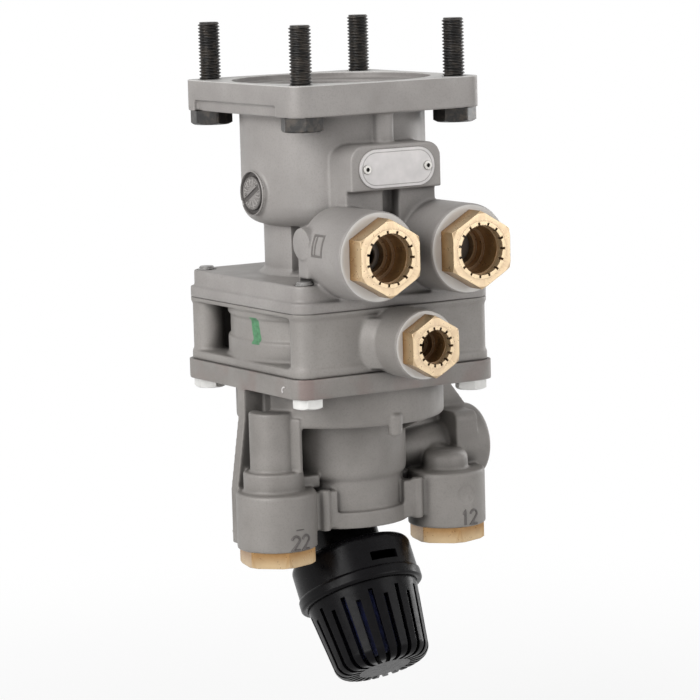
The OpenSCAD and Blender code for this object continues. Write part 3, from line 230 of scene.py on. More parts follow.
def handling_stains(tree, tone):
    """Faint reddish stains on the lower flange, the strongest on its front corner."""
    x, y, z = object_xyz(tree)
    flange = within(tree, z, STAIN_Z, STAIN_HALF_H, 1.0 * MM)
    clouds = ramp(tree, noise(tree, 60.0, 2.0), [(0.46, grey(0)), (0.66, grey(0.38))])
    corner = all_of(
        tree,
        within(tree, x, STAIN_X, 1.8 * MM, 3.0 * MM),
        within(tree, y, STAIN_Y, 2.0 * MM, 3.0 * MM))
    amount = math_node(tree, "MAXIMUM", clouds, math_node(tree, "MULTIPLY", corner, 0.55))
    return mix(tree, all_of(tree, flange, amount), tone, linear(124, 102, 98))


def cast_metal(name, light, dark, extra=None, spot_y=None, top=False):
    """Die-cast aluminium: fine grain, faint clouds, lighter edges that are partly wear and partly painted
    highlight, painted shade in recesses, and lighter machined faces where asked for, those in front partly a
    painted highlight.
    """
    mat, tree, shader = new_material(name)
    clouds = ramp(tree, noise(tree, 38.0, 4.0, 0.55), [(0.34, grey(0)), (0.66, grey(1))])
    tone = mix(tree, clouds, dark, light)
    grain = ramp(tree, noise(tree, 1300.0, 2.0, 0.6), [(0.34, grey(0.22)), (0.5, grey(0))])
    tone = mix(tree, grain, tone, tuple(0.7 * c for c in dark[:3]) + (1.0,))
    # Lighter outer edges: partly rubbed wear, partly painted highlight.
    edges = math_node(tree, "MULTIPLY", worn_and_lit_edges(tree, 0.53, 0.62), 0.5)
    tone = mix(tree, edges, tone, tuple(min(1, 1.4 * c) for c in light[:3]) + (1.0,))
    # Painted shade in corners and recesses.
    tone = painted_recess_shade(tree, tone, tuple(0.28 * c for c in dark[:3]) + (1.0,))
    if extra:
        tone = extra(tree, tone)
    rough = ramp(tree, noise(tree, 130.0, 3.0), [(0.3, grey(0.46)), (0.7, grey(0.56))])
    # Lighter machined faces: the flange top for its finish, the front spot faces for their finish and a
    # painted highlight where they catch the light.
    machined_and_sheen = []
    x, y, z = object_xyz(tree)
    if spot_y:
        machined_and_sheen.append(math_node(tree, "LESS_THAN", y, spot_y))
    if top:
        machined_and_sheen.append(math_node(tree, "GREATER_THAN", z, FLANGE_TOP - 0.3 * MM))
    for mask in machined_and_sheen:
        tone = mix(tree, mask, tone, linear(196, 194, 191))
    tree.links.new(tone, shader.inputs["Base Color"])
    shader.inputs["Metallic"].default_value = 0.15
    shader.inputs["Specular IOR Level"].default_value = 0.35
    tree.links.new(rough, shader.inputs["Roughness"])
    bump(tree, shader, noise(tree, 1500.0, 3.0, 0.6), 0.10, 0.0002)
    return mat


def brass(name, axis):
    """Turned brass: pale gold on the end face, browner and darker on the sides, painted shade in the bore and
    corners, and lighter edges that are partly wear and partly painted highlight.
    """
    mat, tree, shader = new_material(name)
    geometry = add(tree, "ShaderNodeNewGeometry")
    dot = add(tree, "ShaderNodeVectorMath", operation="DOT_PRODUCT")
    dot.inputs[1].default_value = axis
    tree.links.new(geometry.outputs["True Normal"], dot.inputs[0])
    face = ramp(tree, dot.outputs["Value"], [(0.75, grey(0)), (0.95, grey(1))])
    mottled = ramp(tree, noise(tree, 240.0, 4.0), [(0.3, grey(0)), (0.7, grey(1))])
    side = mix(tree, mottled, linear(148, 112, 70), linear(166, 130, 86))
    end = mix(tree, mottled, linear(184, 160, 131), linear(192, 169, 142))
    tone = mix(tree, face, side, end)
    # Lighter outer edges: partly rubbed wear, partly painted highlight.
    edges = math_node(tree, "MULTIPLY", worn_and_lit_edges(tree, 0.52, 0.60), 0.5)
    tone = mix(tree, edges, tone, linear(226, 205, 168))
    # Painted shade in the bore and the corners.
    tone = painted_recess_shade(tree, tone, linear(62, 40, 18), 0.012, 0.25, 0.75)
    tree.links.new(tone, shader.inputs["Base Color"])
    shader.inputs["Metallic"].default_value = 0.7
    rough = ramp(tree, noise(tree, 500.0, 3.0), [(0.3, grey(0.26)), (0.7, grey(0.36))])
    tree.links.new(rough, shader.inputs["Roughness"])
    bump(tree, shader, noise(tree, 2600.0, 2.0), 0.05, 0.0001, edge=0.0004)
    return mat


def plain_metal(name, light, dark, metallic, rough, grain=1200.0, strength=0.08, wear=0.0, extra=None):
    mat, tree, shader = new_material(name)
    tone = mix(tree, ramp(tree, noise(tree, 180.0), [(0.3, grey(0)), (0.7, grey(1))]), dark, light)
    if extra:
        tone = extra(tree, tone)
    if wear:
        scuffs = ramp(tree, noise(tree, 260.0, 5.0, 0.7), [(0.45, grey(0)), (0.62, grey(wear))])
        tone = mix(tree, scuffs, tone, linear(150, 135, 118))
    tree.links.new(tone, shader.inputs["Base Color"])
    shader.inputs["Metallic"].default_value = metallic
    tree.links.new(
        ramp(tree, noise(tree, 600.0), [(0.3, grey(rough - 0.06)), (0.7, grey(rough + 0.06))]),
        shader.inputs["Roughness"])
    bump(tree, shader, noise(tree, grain, 3.0), strength, 0.0002, edge=0.0003)
    return mat


def dull(name, light, dark, rough, grain=1600.0, strength=0.2, sheen=0.0, specular=0.5):
    """Rubber, moulded plastic or felt."""
    mat, tree, shader = new_material(name)
    tone = mix(tree, ramp(tree, noise(tree, 300.0, 4.0), [(0.3, grey(0)), (0.7, grey(1))]), dark, light)
    tree.links.new(tone, shader.inputs["Base Color"])
    tree.links.new(
        ramp(tree, noise(tree, 420.0), [(0.3, grey(rough - 0.05)), (0.7, grey(rough + 0.05))]),
        shader.inputs["Roughness"])
    shader.inputs["Sheen Weight"].default_value = sheen
    shader.inputs["Specular IOR Level"].default_value = specular
    bump(tree, shader, noise(tree, grain, 3.0), strength, 0.0002, edge=0.0003)
    return mat


def greyer_tips(tree, tone):
    """Greyer screw tips above the upper joint, lighter heads below."""
    z = object_xyz(tree)[2]
    tips = math_node(tree, "GREATER_THAN", z, UPPER_JOINT - 0.5 * MM)
    return mix(tree, tips, tone, linear(140, 138, 136))


def painted_hole_shade(tree, tone):
    """Painted shade in the hollow of a rivet."""
    return painted_recess_shade(tree, tone, linear(22, 20, 20), 0.003, 0.35, 0.8)


def dial_painted_shade(tree, tone):
    """Painted shade in the date dial's groove and slot, the darker the deeper they lie."""
    x = object_xyz(tree)[0]
    depth = math_node(tree, "DIVIDE", math_node(tree, "SUBTRACT", x, DIAL.x), DIAL_SUNK)
    sunk_shade = ramp(tree, depth, [(0.1, grey(0)), (0.34, grey(0.3)), (0.5, grey(0.8))])
    return mix(tree, sunk_shade, tone, linear(66, 62, 60))


CAST = cast_metal(
    "cast_upper", linear(154, 150, 147), linear(141, 137, 134), spot_y=-73.7 * MM, top=True)
# The middle and lower castings are painted darker step by step downwards, as painted shade for the light that
# falls off lower on the valve.
CAST_MIDDLE_SHADED = cast_metal(
    "cast_middle_shaded", linear(146, 142, 138), linear(133, 129, 125), paint_stroke, spot_y=-72.7 * MM)
CAST_LOWER_SHADED = cast_metal("cast_lower_shaded", linear(139, 135, 131), linear(125, 121, 117), handling_stains)
# The raised marks and the port numbers are painted darker than the casting, as painted shadow of their
# relief.
SHADED_MARK = cast_metal("cast_mark", linear(112, 108, 105), linear(96, 92, 89))
SHADED_NUMBER = cast_metal("cast_number_shaded", linear(92, 88, 86), linear(78, 74, 72))
DIAL_CAST = cast_metal("cast_dial", linear(154, 150, 147), linear(141, 137, 134), dial_painted_shade)
BRASS_FRONT = brass("brass_front", (0, -1, 0))
BRASS_DOWN = brass("brass_down", (0, 0, -1))
BLACK_BOLT = plain_metal("black_bolt", linear(44, 43, 42), linear(26, 25, 25), 0.45, 0.36, wear=0.12)
ZINC = plain_metal("zinc", linear(222, 221, 218), linear(206, 205, 202), 0.25, 0.34, extra=greyer_tips)
PLATE = plain_metal("label_plate", linear(208, 204, 203), linear(194, 191, 190), 0.15, 0.42, 900.0, 0.05)
RIVET = plain_metal("rivet", linear(196, 194, 190), linear(160, 157, 152), 0.6, 0.36, extra=painted_hole_shade)
BORDER = plain_metal("stamped_line", linear(168, 165, 163), linear(150, 147, 145), 0.3, 0.4)
TURNED = plain_metal("turned_aluminium", linear(196, 196, 194), linear(176, 176, 174), 0.85, 0.30)
STEEL = plain_metal("spring_steel", linear(150, 150, 154), linear(118, 118, 122), 0.9, 0.30)
DARK_STEEL = plain_metal("ring_steel", linear(96, 96, 98), linear(66, 66, 68), 0.85, 0.36)
RUBBER = dull("rubber", linear(38, 37, 36), linear(24, 24, 24), 0.62)
PLASTIC = dull("black_plastic", linear(13, 12, 14), linear(7, 6, 8), 0.28, 900.0, 0.05, specular=0.1)
FELT = dull("filter_felt", linear(34, 42, 92), linear(12, 15, 44), 0.9, 2200.0, 0.6, 0.4)

LOOKS = {
    "upper_housing": CAST, "middle_housing": CAST_MIDDLE_SHADED, "lower_housing": CAST_LOWER_SHADED,
    "mounting_bolts": BLACK_BOLT, "housing_screws": ZINC, "nameplate": PLATE, "nameplate_rivets": RIVET,
    "front_left_connector": BRASS_FRONT, "front_right_connector": BRASS_FRONT,
    "control_connector": BRASS_FRONT, "bottom_left_connector": BRASS_DOWN,
    "bottom_right_connector": BRASS_DOWN, "cover_ring": DARK_STEEL, "upper_guide_ring": DARK_STEEL,
    "lower_guide_ring": DARK_STEEL, "dust_wiper": RUBBER, "rubber_spring": RUBBER, "plunger": PLASTIC,
    "silencer_holder": PLASTIC, "silencer_cage": PLASTIC, "silencer_element": FELT,
}


def look_of(name):
    if name in LOOKS:
        return LOOKS[name]
    if name.endswith("_collet"):
        return BRASS_DOWN if name.startswith("bottom") else BRASS_FRONT
    if name.endswith("_seal") or name.endswith("_rubber"):
        return RUBBER
    if name.endswith("_spring"):
        return STEEL
    return TURNED


def dress(obj, material):
    obj.data.materials.clear()
    obj.data.materials.append(material)


# Mesh tools

def link(mesh, name):
    obj = bpy.data.objects.new(name, mesh)
    bpy.context.scene.collection.objects.link(obj)
    return obj


def smooth_by_angle(obj, degrees):
    """Smooth shading with sharp edges kept above an angle."""
    mesh = obj.data
    mesh.polygons.foreach_set("use_smooth", [True] * len(mesh.polygons))
    mesh.set_sharp_from_angle(angle=math.radians(degrees))


def baked(obj):
    """The object with its modifiers applied."""
    graph = bpy.context.evaluated_depsgraph_get()
    mesh = bpy.data.meshes.new_from_object(obj.evaluated_get(graph))
    obj.modifiers.clear()
    old = obj.data
    obj.data = mesh
    bpy.data.meshes.remove(old)


def relax(mesh, rounds, weight_of):
    """Rounds a dense mesh's edges by averaging each vertex with its neighbours."""
    co = np.zeros(len(mesh.vertices) * 3)
    mesh.vertices.foreach_get("co", co)
    co = co.reshape(-1, 3)
    edges = np.zeros(len(mesh.edges) * 2, int)
    mesh.edges.foreach_get("vertices", edges)
    edges = edges.reshape(-1, 2)
    count = np.bincount(edges.ravel(), minlength=len(co)).astype(float)[:, None]
    weight = weight_of(co)[:, None]
    a = np.concatenate([edges[:, 0], edges[:, 1]])
    b = np.concatenate([edges[:, 1], edges[:, 0]])
    for _ in range(rounds):
        total = np.stack([np.bincount(a, co[b, k], minlength=len(co)) for k in range(3)], axis=1)
        co += weight * 0.6 * (total / count - co)
    mesh.vertices.foreach_set("co", co.ravel())
    mesh.update()


def casting(name, rounds, planes, hollows, limit, reshape=None):
    """A copy of a housing with cast fillets on its edges, and crisp machined planes and bores."""
    obj = link(nodes[name].data.copy(), name + "_cast")
    remesh = obj.modifiers.new("grain", "REMESH")
    remesh.mode = "VOXEL"
    remesh.voxel_size = CAST_GRAIN
    baked(obj)

    def weight(co):
        w = np.ones(len(co))
        for z in planes:
            w[np.abs(co[:, 2] - z) < 1.1 * CAST_GRAIN] = 0.0
        radius = np.hypot(co[:, 0], co[:, 1])
        for r, low, high in hollows:
            w[(radius < r) & (co[:, 2] > low) & (co[:, 2] < high)] = 0.0
        return w

    relax(obj.data, rounds, weight)
    if reshape:
        move(obj.data, reshape)
    triangles = 2 * len(obj.data.polygons)
    if triangles > limit:
        thin = obj.modifiers.new("thin", "DECIMATE")
        thin.ratio = limit / triangles
        baked(obj)
    smooth_by_angle(obj, 50)
    dress(obj, look_of(name))
    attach(obj, "housing")
    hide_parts(name)


def move(mesh, change):
    """Moves a mesh's vertices by a function of the whole array of places."""
    co = np.zeros(len(mesh.vertices) * 3)
    mesh.vertices.foreach_get("co", co)
    co = change(co.reshape(-1, 3))
    mesh.vertices.foreach_set("co", co.ravel())
    mesh.update()


def mesh_object(name, verts, faces, degrees, material, slot):
    """A new piece of the housing from vertices and faces, with doubles merged."""
    mesh = bpy.data.meshes.new(name)
    work = bmesh.new()
    made = [work.verts.new(v) for v in verts]
    for face in faces:
        work.faces.new([made[i] for i in face])
    bmesh.ops.remove_doubles(work, verts=work.verts, dist=0.02 * MM)
    bmesh.ops.recalc_face_normals(work, faces=work.faces)
    work.to_mesh(mesh)
    work.free()
    obj = link(mesh, name)
    smooth_by_angle(obj, degrees)
    dress(obj, material)
    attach(obj, "housing")
    return obj


def fastener(head_af, head_h, shank_r, thread_r, core_r, pitch, levels, turn, tip_round, sides=72):
    """Rings of a hexagon-head screw along Z: head, plain shank, one continuous thread and a chamfered tip."""
    head_z, thread_z, tip_z = levels
    per_pitch = 8
    tip_chamfer = 1.1 * (thread_r - core_r) + tip_round
    angles = [2 * math.pi * k / sides for k in range(sides)]
    flat = head_af / 2
    corner_r = 0.95 * flat

    def hexagon_r(angle):
        return flat / math.cos((angle - turn) % (math.pi / 3) - math.pi / 6)

    def circle(r, z):
        return [(r * math.cos(a), r * math.sin(a), z) for a in angles]

    far = []
    for a in angles:
        r = hexagon_r(a)
        chamfer = max(0.0, r - corner_r) * math.tan(math.pi / 6)
        far.append((r * math.cos(a), r * math.sin(a), head_z - head_h + chamfer))
    near = [(hexagon_r(a) * math.cos(a), hexagon_r(a) * math.sin(a), head_z) for a in angles]
    rings = [
        circle(corner_r * 0.99, head_z - head_h), far, near,
        circle(shank_r, head_z), circle(shank_r, thread_z)]
    verts = [v for ring in rings for v in ring]
    faces = [tuple(range(sides))]
    for i in range(len(rings) - 1):
        for k in range(sides):
            j = (k + 1) % sides
            faces.append((i * sides + k, i * sides + j, (i + 1) * sides + j, (i + 1) * sides + k))
    rows = int((tip_z - thread_z) / pitch * per_pitch) + 2 * per_pitch + 2
    base = len(verts) - sides
    first = len(verts)
    for i in range(rows + 1):
        share = (i % per_pitch) / per_pitch
        depth = min(1.0, max(0.0, (abs(share - 0.5) * 2 - 0.2) / 0.6))
        for k in range(sides):
            z = thread_z - pitch + pitch * (i / per_pitch + k / sides)
            z = min(max(z, thread_z), tip_z)
            r = core_r + (thread_r - core_r) * depth
            if z <= thread_z:
                r = core_r
            slant = (thread_r - core_r + tip_round) * (tip_z - z) / tip_chamfer
            r = min(r, core_r - 0.05 * MM - tip_round + slant)
            verts.append((r * math.cos(angles[k]), r * math.sin(angles[k]), z))
    for k in range(sides):
        j = (k + 1) % sides
        faces.append((base + k, base + j, first + j, first + k))
    for i in range(rows):
        for k in range(sides):
            a, b = first + i * sides + k, first + (i + 1) * sides + k
            if k + 1 < sides:
                faces.append((a, a + 1, b + 1, b))
            else:
                low, high = min(i + per_pitch, rows), min(i + 1 + per_pitch, rows)
                if low != high:
                    faces.append((a, first + low * sides, first + high * sides, b))
    faces.append(tuple(first + rows * sides + k for k in reversed(range(sides))))
    return verts, faces


def fasteners(half, turns, **sizes):
    """Four screws on the corners of a square, each turned by its own angle."""
    verts, faces = [], []
    corners = [(-1, -1), (1, -1), (-1, 1), (1, 1)]
    for (sx, sy), turn in zip(corners, turns):
        v, f = fastener(turn=math.radians(turn), **sizes)
        base = len(verts)
        verts += [(p[0] + sx * half, p[1] + sy * half, p[2]) for p in v]
        faces += [tuple(base + i for i in q) for q in f]
    return verts, faces


def resampled(points, closed, step=0.8 * MM):
    """The same line with points added so that it can follow a round surface."""
    out = []
    ends = points[1:] + (points[:1] if closed else [])
    for (u, v), (u2, v2) in zip(points, ends):
        parts = max(1, math.ceil(math.hypot(u2 - u, v2 - v) / step))
        out += [(u + (u2 - u) * i / parts, v + (v2 - v) * i / parts) for i in range(parts)]
    return out if closed else out + [points[-1]]


def raised_line(points, width, lift, place, sink=0.3 * MM, closed=False):
    """A cast ridge along a line on a surface: place turns along, up and out into a point."""
    points = resampled(points, closed)
    count = len(points)
    profile = [
        (-0.5, -sink), (-0.5, 0.35 * lift), (-0.24, lift),
        (0.24, lift), (0.5, 0.35 * lift), (0.5, -sink)]
    verts, faces = [], []
    for i, (u, v) in enumerate(points):
        before = points[i - 1] if i or closed else None
        after = points[(i + 1) % count] if i + 1 < count or closed else None
        ways = []
        if before:
            ways.append(Vector((u - before[0], v - before[1])).normalized())
        if after:
            ways.append(Vector((after[0] - u, after[1] - v)).normalized())
        way = sum(ways, Vector((0, 0))).normalized()
        reach = min(1.5, 1 / max(0.3, way.dot(ways[0])))
        for side, out in profile:
            step = side * width * reach
            verts.append(place(u - way.y * step, v + way.x * step, out))
    n = len(profile)
    for i in range(count if closed else count - 1):
        j = (i + 1) % count
        for k in range(n):
            m = (k + 1) % n
            faces.append((i * n + k, j * n + k, j * n + m, i * n + m))
    if not closed:
        faces.append(tuple(range(n)))
        faces.append(tuple((count - 1) * n + k for k in reversed(range(n))))
    return verts, faces


def joined(parts):
    verts, faces = [], []
    for v, f in parts:
        base = len(verts)
        verts += v
        faces += [tuple(base + i for i in q) for q in f]
    return verts, faces


def digit(sign, left, low, width, height):
    """The line of a plain cast 1 or 2 in a box."""
    if sign == "1":
        line = [(0.10, 0.74), (0.52, 1.0), (0.52, 0.5), (0.52, 0.0)]
    else:
        line = [(0.5 + 0.46 * math.cos(math.radians(a)), 0.72 + 0.28 * math.sin(math.radians(a)))
                for a in range(175, -41, -24)]
        line += [(0.45, 0.27), (0.04, 0.0), (0.5, 0.0), (1.0, 0.0)]
    return [(left + x * width, low + y * height) for x, y in line]


def round_line(centre, radius, start, end, steps=14):
    spots = [math.radians(start + (end - start) * i / steps) for i in range(steps + 1)]
    return [(centre[0] + radius * math.cos(a), centre[1] + radius * math.sin(a)) for a in spots]


# The part

for name, obj in nodes.items():
    dress(obj, look_of(name))
    smooth_by_angle(obj, 30)

# Cell size of the castings' mesh, which sets how wide their fillets get
CAST_GRAIN = 0.55 * MM
# Shallow round spot on the right port boss
PAD = Vector((45.2, -35.4, -192.2)) * MM
PAD_R = 4.3 * MM
PAD_DEPTH = 0.45 * MM


def sink_dial(co):
    """Sinks the casting behind the date dial."""
    away = np.hypot(co[:, 1] - DIAL.y, co[:, 2] - DIAL.z)
    inside = (away < DIAL_FIELD_R) & (co[:, 0] < DIAL.x + DIAL_SUNK)
    co[inside, 0] = DIAL.x + DIAL_SUNK
    return co


# End of the blank stub on the left front boss
STUB = Vector((-44.2, -40.5, -68.0)) * MM
STUB_REACH = 9.0 * MM
# Slit between the neck and the left front boss
SLIT_Y = -14.5 * MM
SLIT_HALF = 2.8 * MM
SLIT_DEPTH = 3.6 * MM
SLIT_LOW, SLIT_HIGH = -86.0 * MM, -61.5 * MM
NECK_IN, NECK_OUT = 30.5 * MM, 34.5 * MM


def shape_upper(co):
    """Sinks the dial's field, shortens the blank stub and cuts the slit between it and the neck."""
    co = sink_dial(co)
    near = (np.abs(co[:, 1] - STUB.y) < STUB_REACH) & (np.abs(co[:, 2] - STUB.z) < STUB_REACH)
    co[near, 0] = np.maximum(co[near, 0], STUB.x)
    radius = np.hypot(co[:, 0], co[:, 1])
    across = np.clip(1 - ((co[:, 1] - SLIT_Y) / SLIT_HALF) ** 2, 0, 1)
    ends = np.clip(np.minimum(co[:, 2] - SLIT_LOW, SLIT_HIGH - co[:, 2]) / MM, 0, 1)
    wall = (radius > NECK_IN) & (radius < NECK_OUT) & (co[:, 0] < 0)
    cut = SLIT_DEPTH * across * ends * wall
    co[:, :2] *= (1 - cut / np.maximum(radius, MM))[:, None]
    return co


def press_pad(co):
    """Presses a shallow round spot into the right port boss."""
    away = np.hypot(co[:, 0] - PAD.x, co[:, 2] - PAD.z)
    share = np.clip((PAD_R + 0.3 * MM - away) / (0.6 * MM), 0, 1)
    share[co[:, 1] > -25 * MM] = 0
    co[:, 1] += PAD_DEPTH * share
    return co


# Inside these bores, radius and heights, the surface stays crisp
UPPER_BORES = [(39.2 * MM, -58.5 * MM, 1.0 * MM), (26.5 * MM, -100.0 * MM, -58.0 * MM)]
MIDDLE_BORES = [(45.7 * MM, -122.5 * MM, -99.0 * MM), (19.0 * MM, -128.5 * MM, -122.0 * MM)]
LOWER_BORES = [(44.5 * MM, -148.5 * MM, -127.0 * MM), (25.5 * MM, -202.5 * MM, -148.0 * MM)]

casting("upper_housing", 4, [FLANGE_TOP, UPPER_JOINT], UPPER_BORES, 190000, shape_upper)
casting("middle_housing", 3, [UPPER_JOINT, LOWER_JOINT], MIDDLE_BORES, 120000)
casting("lower_housing", 4, [LOWER_JOINT, FOOT_END], LOWER_BORES, 190000, press_pad)


def smooth_step(low, high, value):
    t = min(1.0, max(0.0, (value - low) / (high - low)))
    return t * t * (3 - 2 * t)


# The date dial's relief, in millimetres
DIAL_EDGE_R = 9.98
FIELD_R = 7.0
FIELD_DEEP = 0.6
GROOVE_IN, GROOVE_OUT, GROOVE_DEEP = 7.3, 9.3, 1.8
SLOT_TURN = math.radians(29.6)
SLOT_HALF, SLOT_END, SLOT_DEEP = 0.95, 6.3, 1.3
TICK_IN, TICK_OUT, TICK_HALF = 3.4, 6.5, 0.22
DOT_R, DOT_HALF = 5.9, 0.3
MARK_STEP = 30
BARE_STRIP_HALF = 1.5


def dial_mark(a, b):
    """1 on the short ticks and the dots between them, which stand up from the dial's field."""
    r = math.hypot(a, b)
    turn = math.degrees(math.atan2(b, a)) % MARK_STEP
    tick_off = abs(r * math.sin(math.radians(turn - MARK_STEP / 2)))
    tick = 1 - smooth_step(TICK_HALF, 0.5, tick_off)
    tick *= smooth_step(TICK_IN, 3.7, r) * (1 - smooth_step(TICK_OUT, 6.9, r))
    nearest = turn if turn < MARK_STEP / 2 else turn - MARK_STEP
    dot_off = abs(r * math.sin(math.radians(nearest)))
    dot = 1 - smooth_step(DOT_HALF, 0.65, math.hypot(dot_off, r - DOT_R))
    return max(tick, dot)


def dial_depth(a, b):
    """Depth under the dial's face, for a place right of and above its centre."""
    r = math.hypot(a, b)
    along = a * math.cos(SLOT_TURN) + b * math.sin(SLOT_TURN)
    across = abs(b * math.cos(SLOT_TURN) - a * math.sin(SLOT_TURN))
    groove = smooth_step(GROOVE_IN, 7.7, r) * (1 - smooth_step(GROOVE_OUT, 9.6, r))
    slot = (1 - smooth_step(SLOT_HALF, 1.3, across)) * (1 - smooth_step(SLOT_END, 6.7, along))
    field = 1 - smooth_step(FIELD_R, GROOVE_IN, r)
    if across > BARE_STRIP_HALF:
        field *= 1 - dial_mark(a, b)
    rim = 0.25 * smooth_step(9.6, 10, r)
    return max(GROOVE_DEEP * groove, SLOT_DEEP * slot, FIELD_DEEP * field, rim)


def date_dial():
    """Round insert mark of a casting tool: a deep ring groove round a field with a slot and short marks."""
    rings, sectors = 62, 240
    verts, faces = [], []
    turns = [2 * math.pi * k / sectors for k in range(sectors)]
    for i in range(rings + 1):
        r = DIAL_EDGE_R * i / rings
        for turn in turns:
            a, b = r * math.cos(turn), r * math.sin(turn)
            verts.append((DIAL.x + (dial_depth(a, b) - 0.02) * MM, DIAL.y - a * MM, DIAL.z + b * MM))
    back_x = DIAL.x + DIAL_SUNK + 0.4 * MM
    for turn in turns:
        a, b = DIAL_EDGE_R * math.cos(turn), DIAL_EDGE_R * math.sin(turn)
        verts.append((back_x, DIAL.y - a * MM, DIAL.z + b * MM))
    for i in range(rings + 1):
        for k in range(sectors):
            j = (k + 1) % sectors
            faces.append((i * sectors + k, i * sectors + j, (i + 1) * sectors + j, (i + 1) * sectors + k))
    faces.append(tuple((rings + 1) * sectors + k for k in range(sectors)))
    mesh_object("date_dial", verts, faces, 60, DIAL_CAST, "cast_aluminium")


# Surfaces of the part that carry marks
BOTTOM_BOSS_X, BOTTOM_BOSS_Y, BOTTOM_BOSS_R = 45.7 * MM, -17.4 * MM, 18.0 * MM
FRONT_BOSS_X, FRONT_BOSS_Z, FRONT_BOSS_R = -23.7 * MM, -74.0 * MM, 20.0 * MM
LEFT_FACE_X = -52.5 * MM
PLATE_Y, PLATE_Z = -53.8 * MM, -37.8 * MM


def on_bottom_boss(side, turn, low_z):
    """Places on the left (-1) or right (1) bottom port boss: along its round, up and out."""
    def place(u, v, out):
        angle = math.radians(turn) + u / BOTTOM_BOSS_R
        far = BOTTOM_BOSS_R + out
        x = side * BOTTOM_BOSS_X + far * math.sin(angle)
        return (x, BOTTOM_BOSS_Y - far * math.cos(angle), low_z + v)

    return place


def on_left_boss(u, v, out):
    """Places on the left front boss: along it, up its round side and out."""
    angle = v / FRONT_BOSS_R
    far = FRONT_BOSS_R + out
    return (FRONT_BOSS_X - far * math.cos(angle), -u, FRONT_BOSS_Z + far * math.sin(angle))


def on_left_face(u, v, out):
    """Places on the lower flange's left rim: forward, up and out."""
    return (LEFT_FACE_X - out, -u, v)


def on_plate(u, v, out):
    """Places on the nameplate: right, up and out."""
    return (u, PLATE_Y - out, PLATE_Z + v)


def cast_marks():
    """The port numbers 22 and 12, the flange's curved mark and the left boss's framed mark, the numbers and
    the frame painted dark as the shadow of their relief.
    """
    left = on_bottom_boss(-1, 6.5, -206.3 * MM)
    right = on_bottom_boss(1, 4.0, -206.1 * MM)
    stroke, lift = 1.05 * MM, 0.45 * MM
    wide, slim, left_tall, right_tall = 4.2 * MM, 2.2 * MM, 6.3 * MM, 6.6 * MM
    bar_z = 9.0 * MM
    numbers = [
        raised_line(digit("2", -5.0 * MM, 0.0, wide, left_tall), stroke, lift, left),
        raised_line(digit("2", 0.6 * MM, 0.0, wide, left_tall), stroke, lift, left),
        raised_line([(-2.6 * MM, bar_z), (1.4 * MM, bar_z)], 0.5 * MM, 0.22 * MM, left),
        raised_line(digit("1", -4.0 * MM, 0.0, slim, right_tall), stroke, lift, right),
        raised_line(digit("2", -0.2 * MM, 0.0, wide, right_tall), stroke, lift, right),
    ]
    mesh_object("port_numbers", *joined(numbers), 40, SHADED_NUMBER, "cast_aluminium")
    hook = round_line((38.7 * MM, -133.4 * MM), 1.5 * MM, 60, 230)
    verts, faces = raised_line(hook, 0.7 * MM, 0.35 * MM, on_left_face)
    mesh_object("flange_mark", verts, faces, 40, PLATE, "cast_aluminium")
    low, high = 0.4 * MM, 9.6 * MM
    near, far = 51.0 * MM, 58.6 * MM
    bar_u = near + 2.3 * MM
    border = [(near, low), (far, low), (far, high), (near, high)]
    framed = [
        raised_line(border, 0.9 * MM, 0.4 * MM, on_left_boss, closed=True),
        raised_line([(bar_u, low), (bar_u, high)], 0.8 * MM, 0.35 * MM, on_left_boss),
    ]
    mesh_object("cast_marks", *joined(framed), 40, SHADED_MARK, "cast_aluminium")


def foot_web():
    """Round-topped cast web that closes the gap between the foot and the right port boss."""
    left, right = 24.5 * MM, 33.0 * MM
    middle, half, crown, foot = -8.0 * MM, 2.2 * MM, -183.2 * MM, -201.0 * MM
    ring = [(middle - half, foot), (middle + half, foot)]
    for i in range(13):
        turn = math.pi * i / 12
        ring.append((middle + half * math.cos(turn), crown + half * math.sin(turn)))
    verts = []
    steps = 10
    for i in range(steps + 1):
        share = i / steps
        dip = 0.9 * MM * math.sin(math.pi * share)
        for y, z in ring:
            verts.append((left + (right - left) * share, y, z - (dip if z > foot else 0.0)))
    n = len(ring)
    faces = [tuple(range(n)), tuple(steps * n + k for k in reversed(range(n)))]
    for i in range(steps):
        for k in range(n):
            m = (k + 1) % n
            faces.append((i * n + k, (i + 1) * n + k, (i + 1) * n + m, i * n + m))
    mesh_object("foot_web", verts, faces, 40, CAST_LOWER_SHADED, "cast_aluminium")


def plate_border():
    """A thin stamped line round the bare nameplate."""
    half_w, half_h = 18.2 * MM, 7.2 * MM
    straight = half_w - half_h
    line = round_line((straight, 0), half_h, -90, 90) + round_line((-straight, 0), half_h, 90, 270)
    verts, faces = raised_line(line, 0.4 * MM, 0.08 * MM, on_plate, closed=True)
    mesh_object("plate_border", verts, faces, 40, BORDER, "plate_metal")


# M10 bolts and M8 screws: half their spacing, turns of the heads in degrees, and sizes.
# Levels are the heights of the head's underside, the thread's start and the tip.
BOLT_HALF, BOLT_TURNS = 40.0 * MM, (10, 31, 18.5, 4)
BOLT = {
    "head_af": 17.0 * MM, "head_h": 6.4 * MM, "shank_r": 4.75 * MM, "thread_r": 4.95 * MM,
    "core_r": 4.15 * MM, "pitch": 1.5 * MM, "levels": (-14.0 * MM, -3.0 * MM, 26.0 * MM),
    "tip_round": 0.0}
SCREW_HALF, SCREW_TURNS = 43.3 * MM, (0, 8, 20, 33)
SCREW = {
    "head_af": 13.0 * MM, "head_h": 4.6 * MM, "shank_r": 3.95 * MM, "thread_r": 3.98 * MM,
    "core_r": 3.35 * MM, "pitch": 1.25 * MM, "levels": (-137.0 * MM, -99.0 * MM, -85.6 * MM),
    "tip_round": 0.3 * MM}

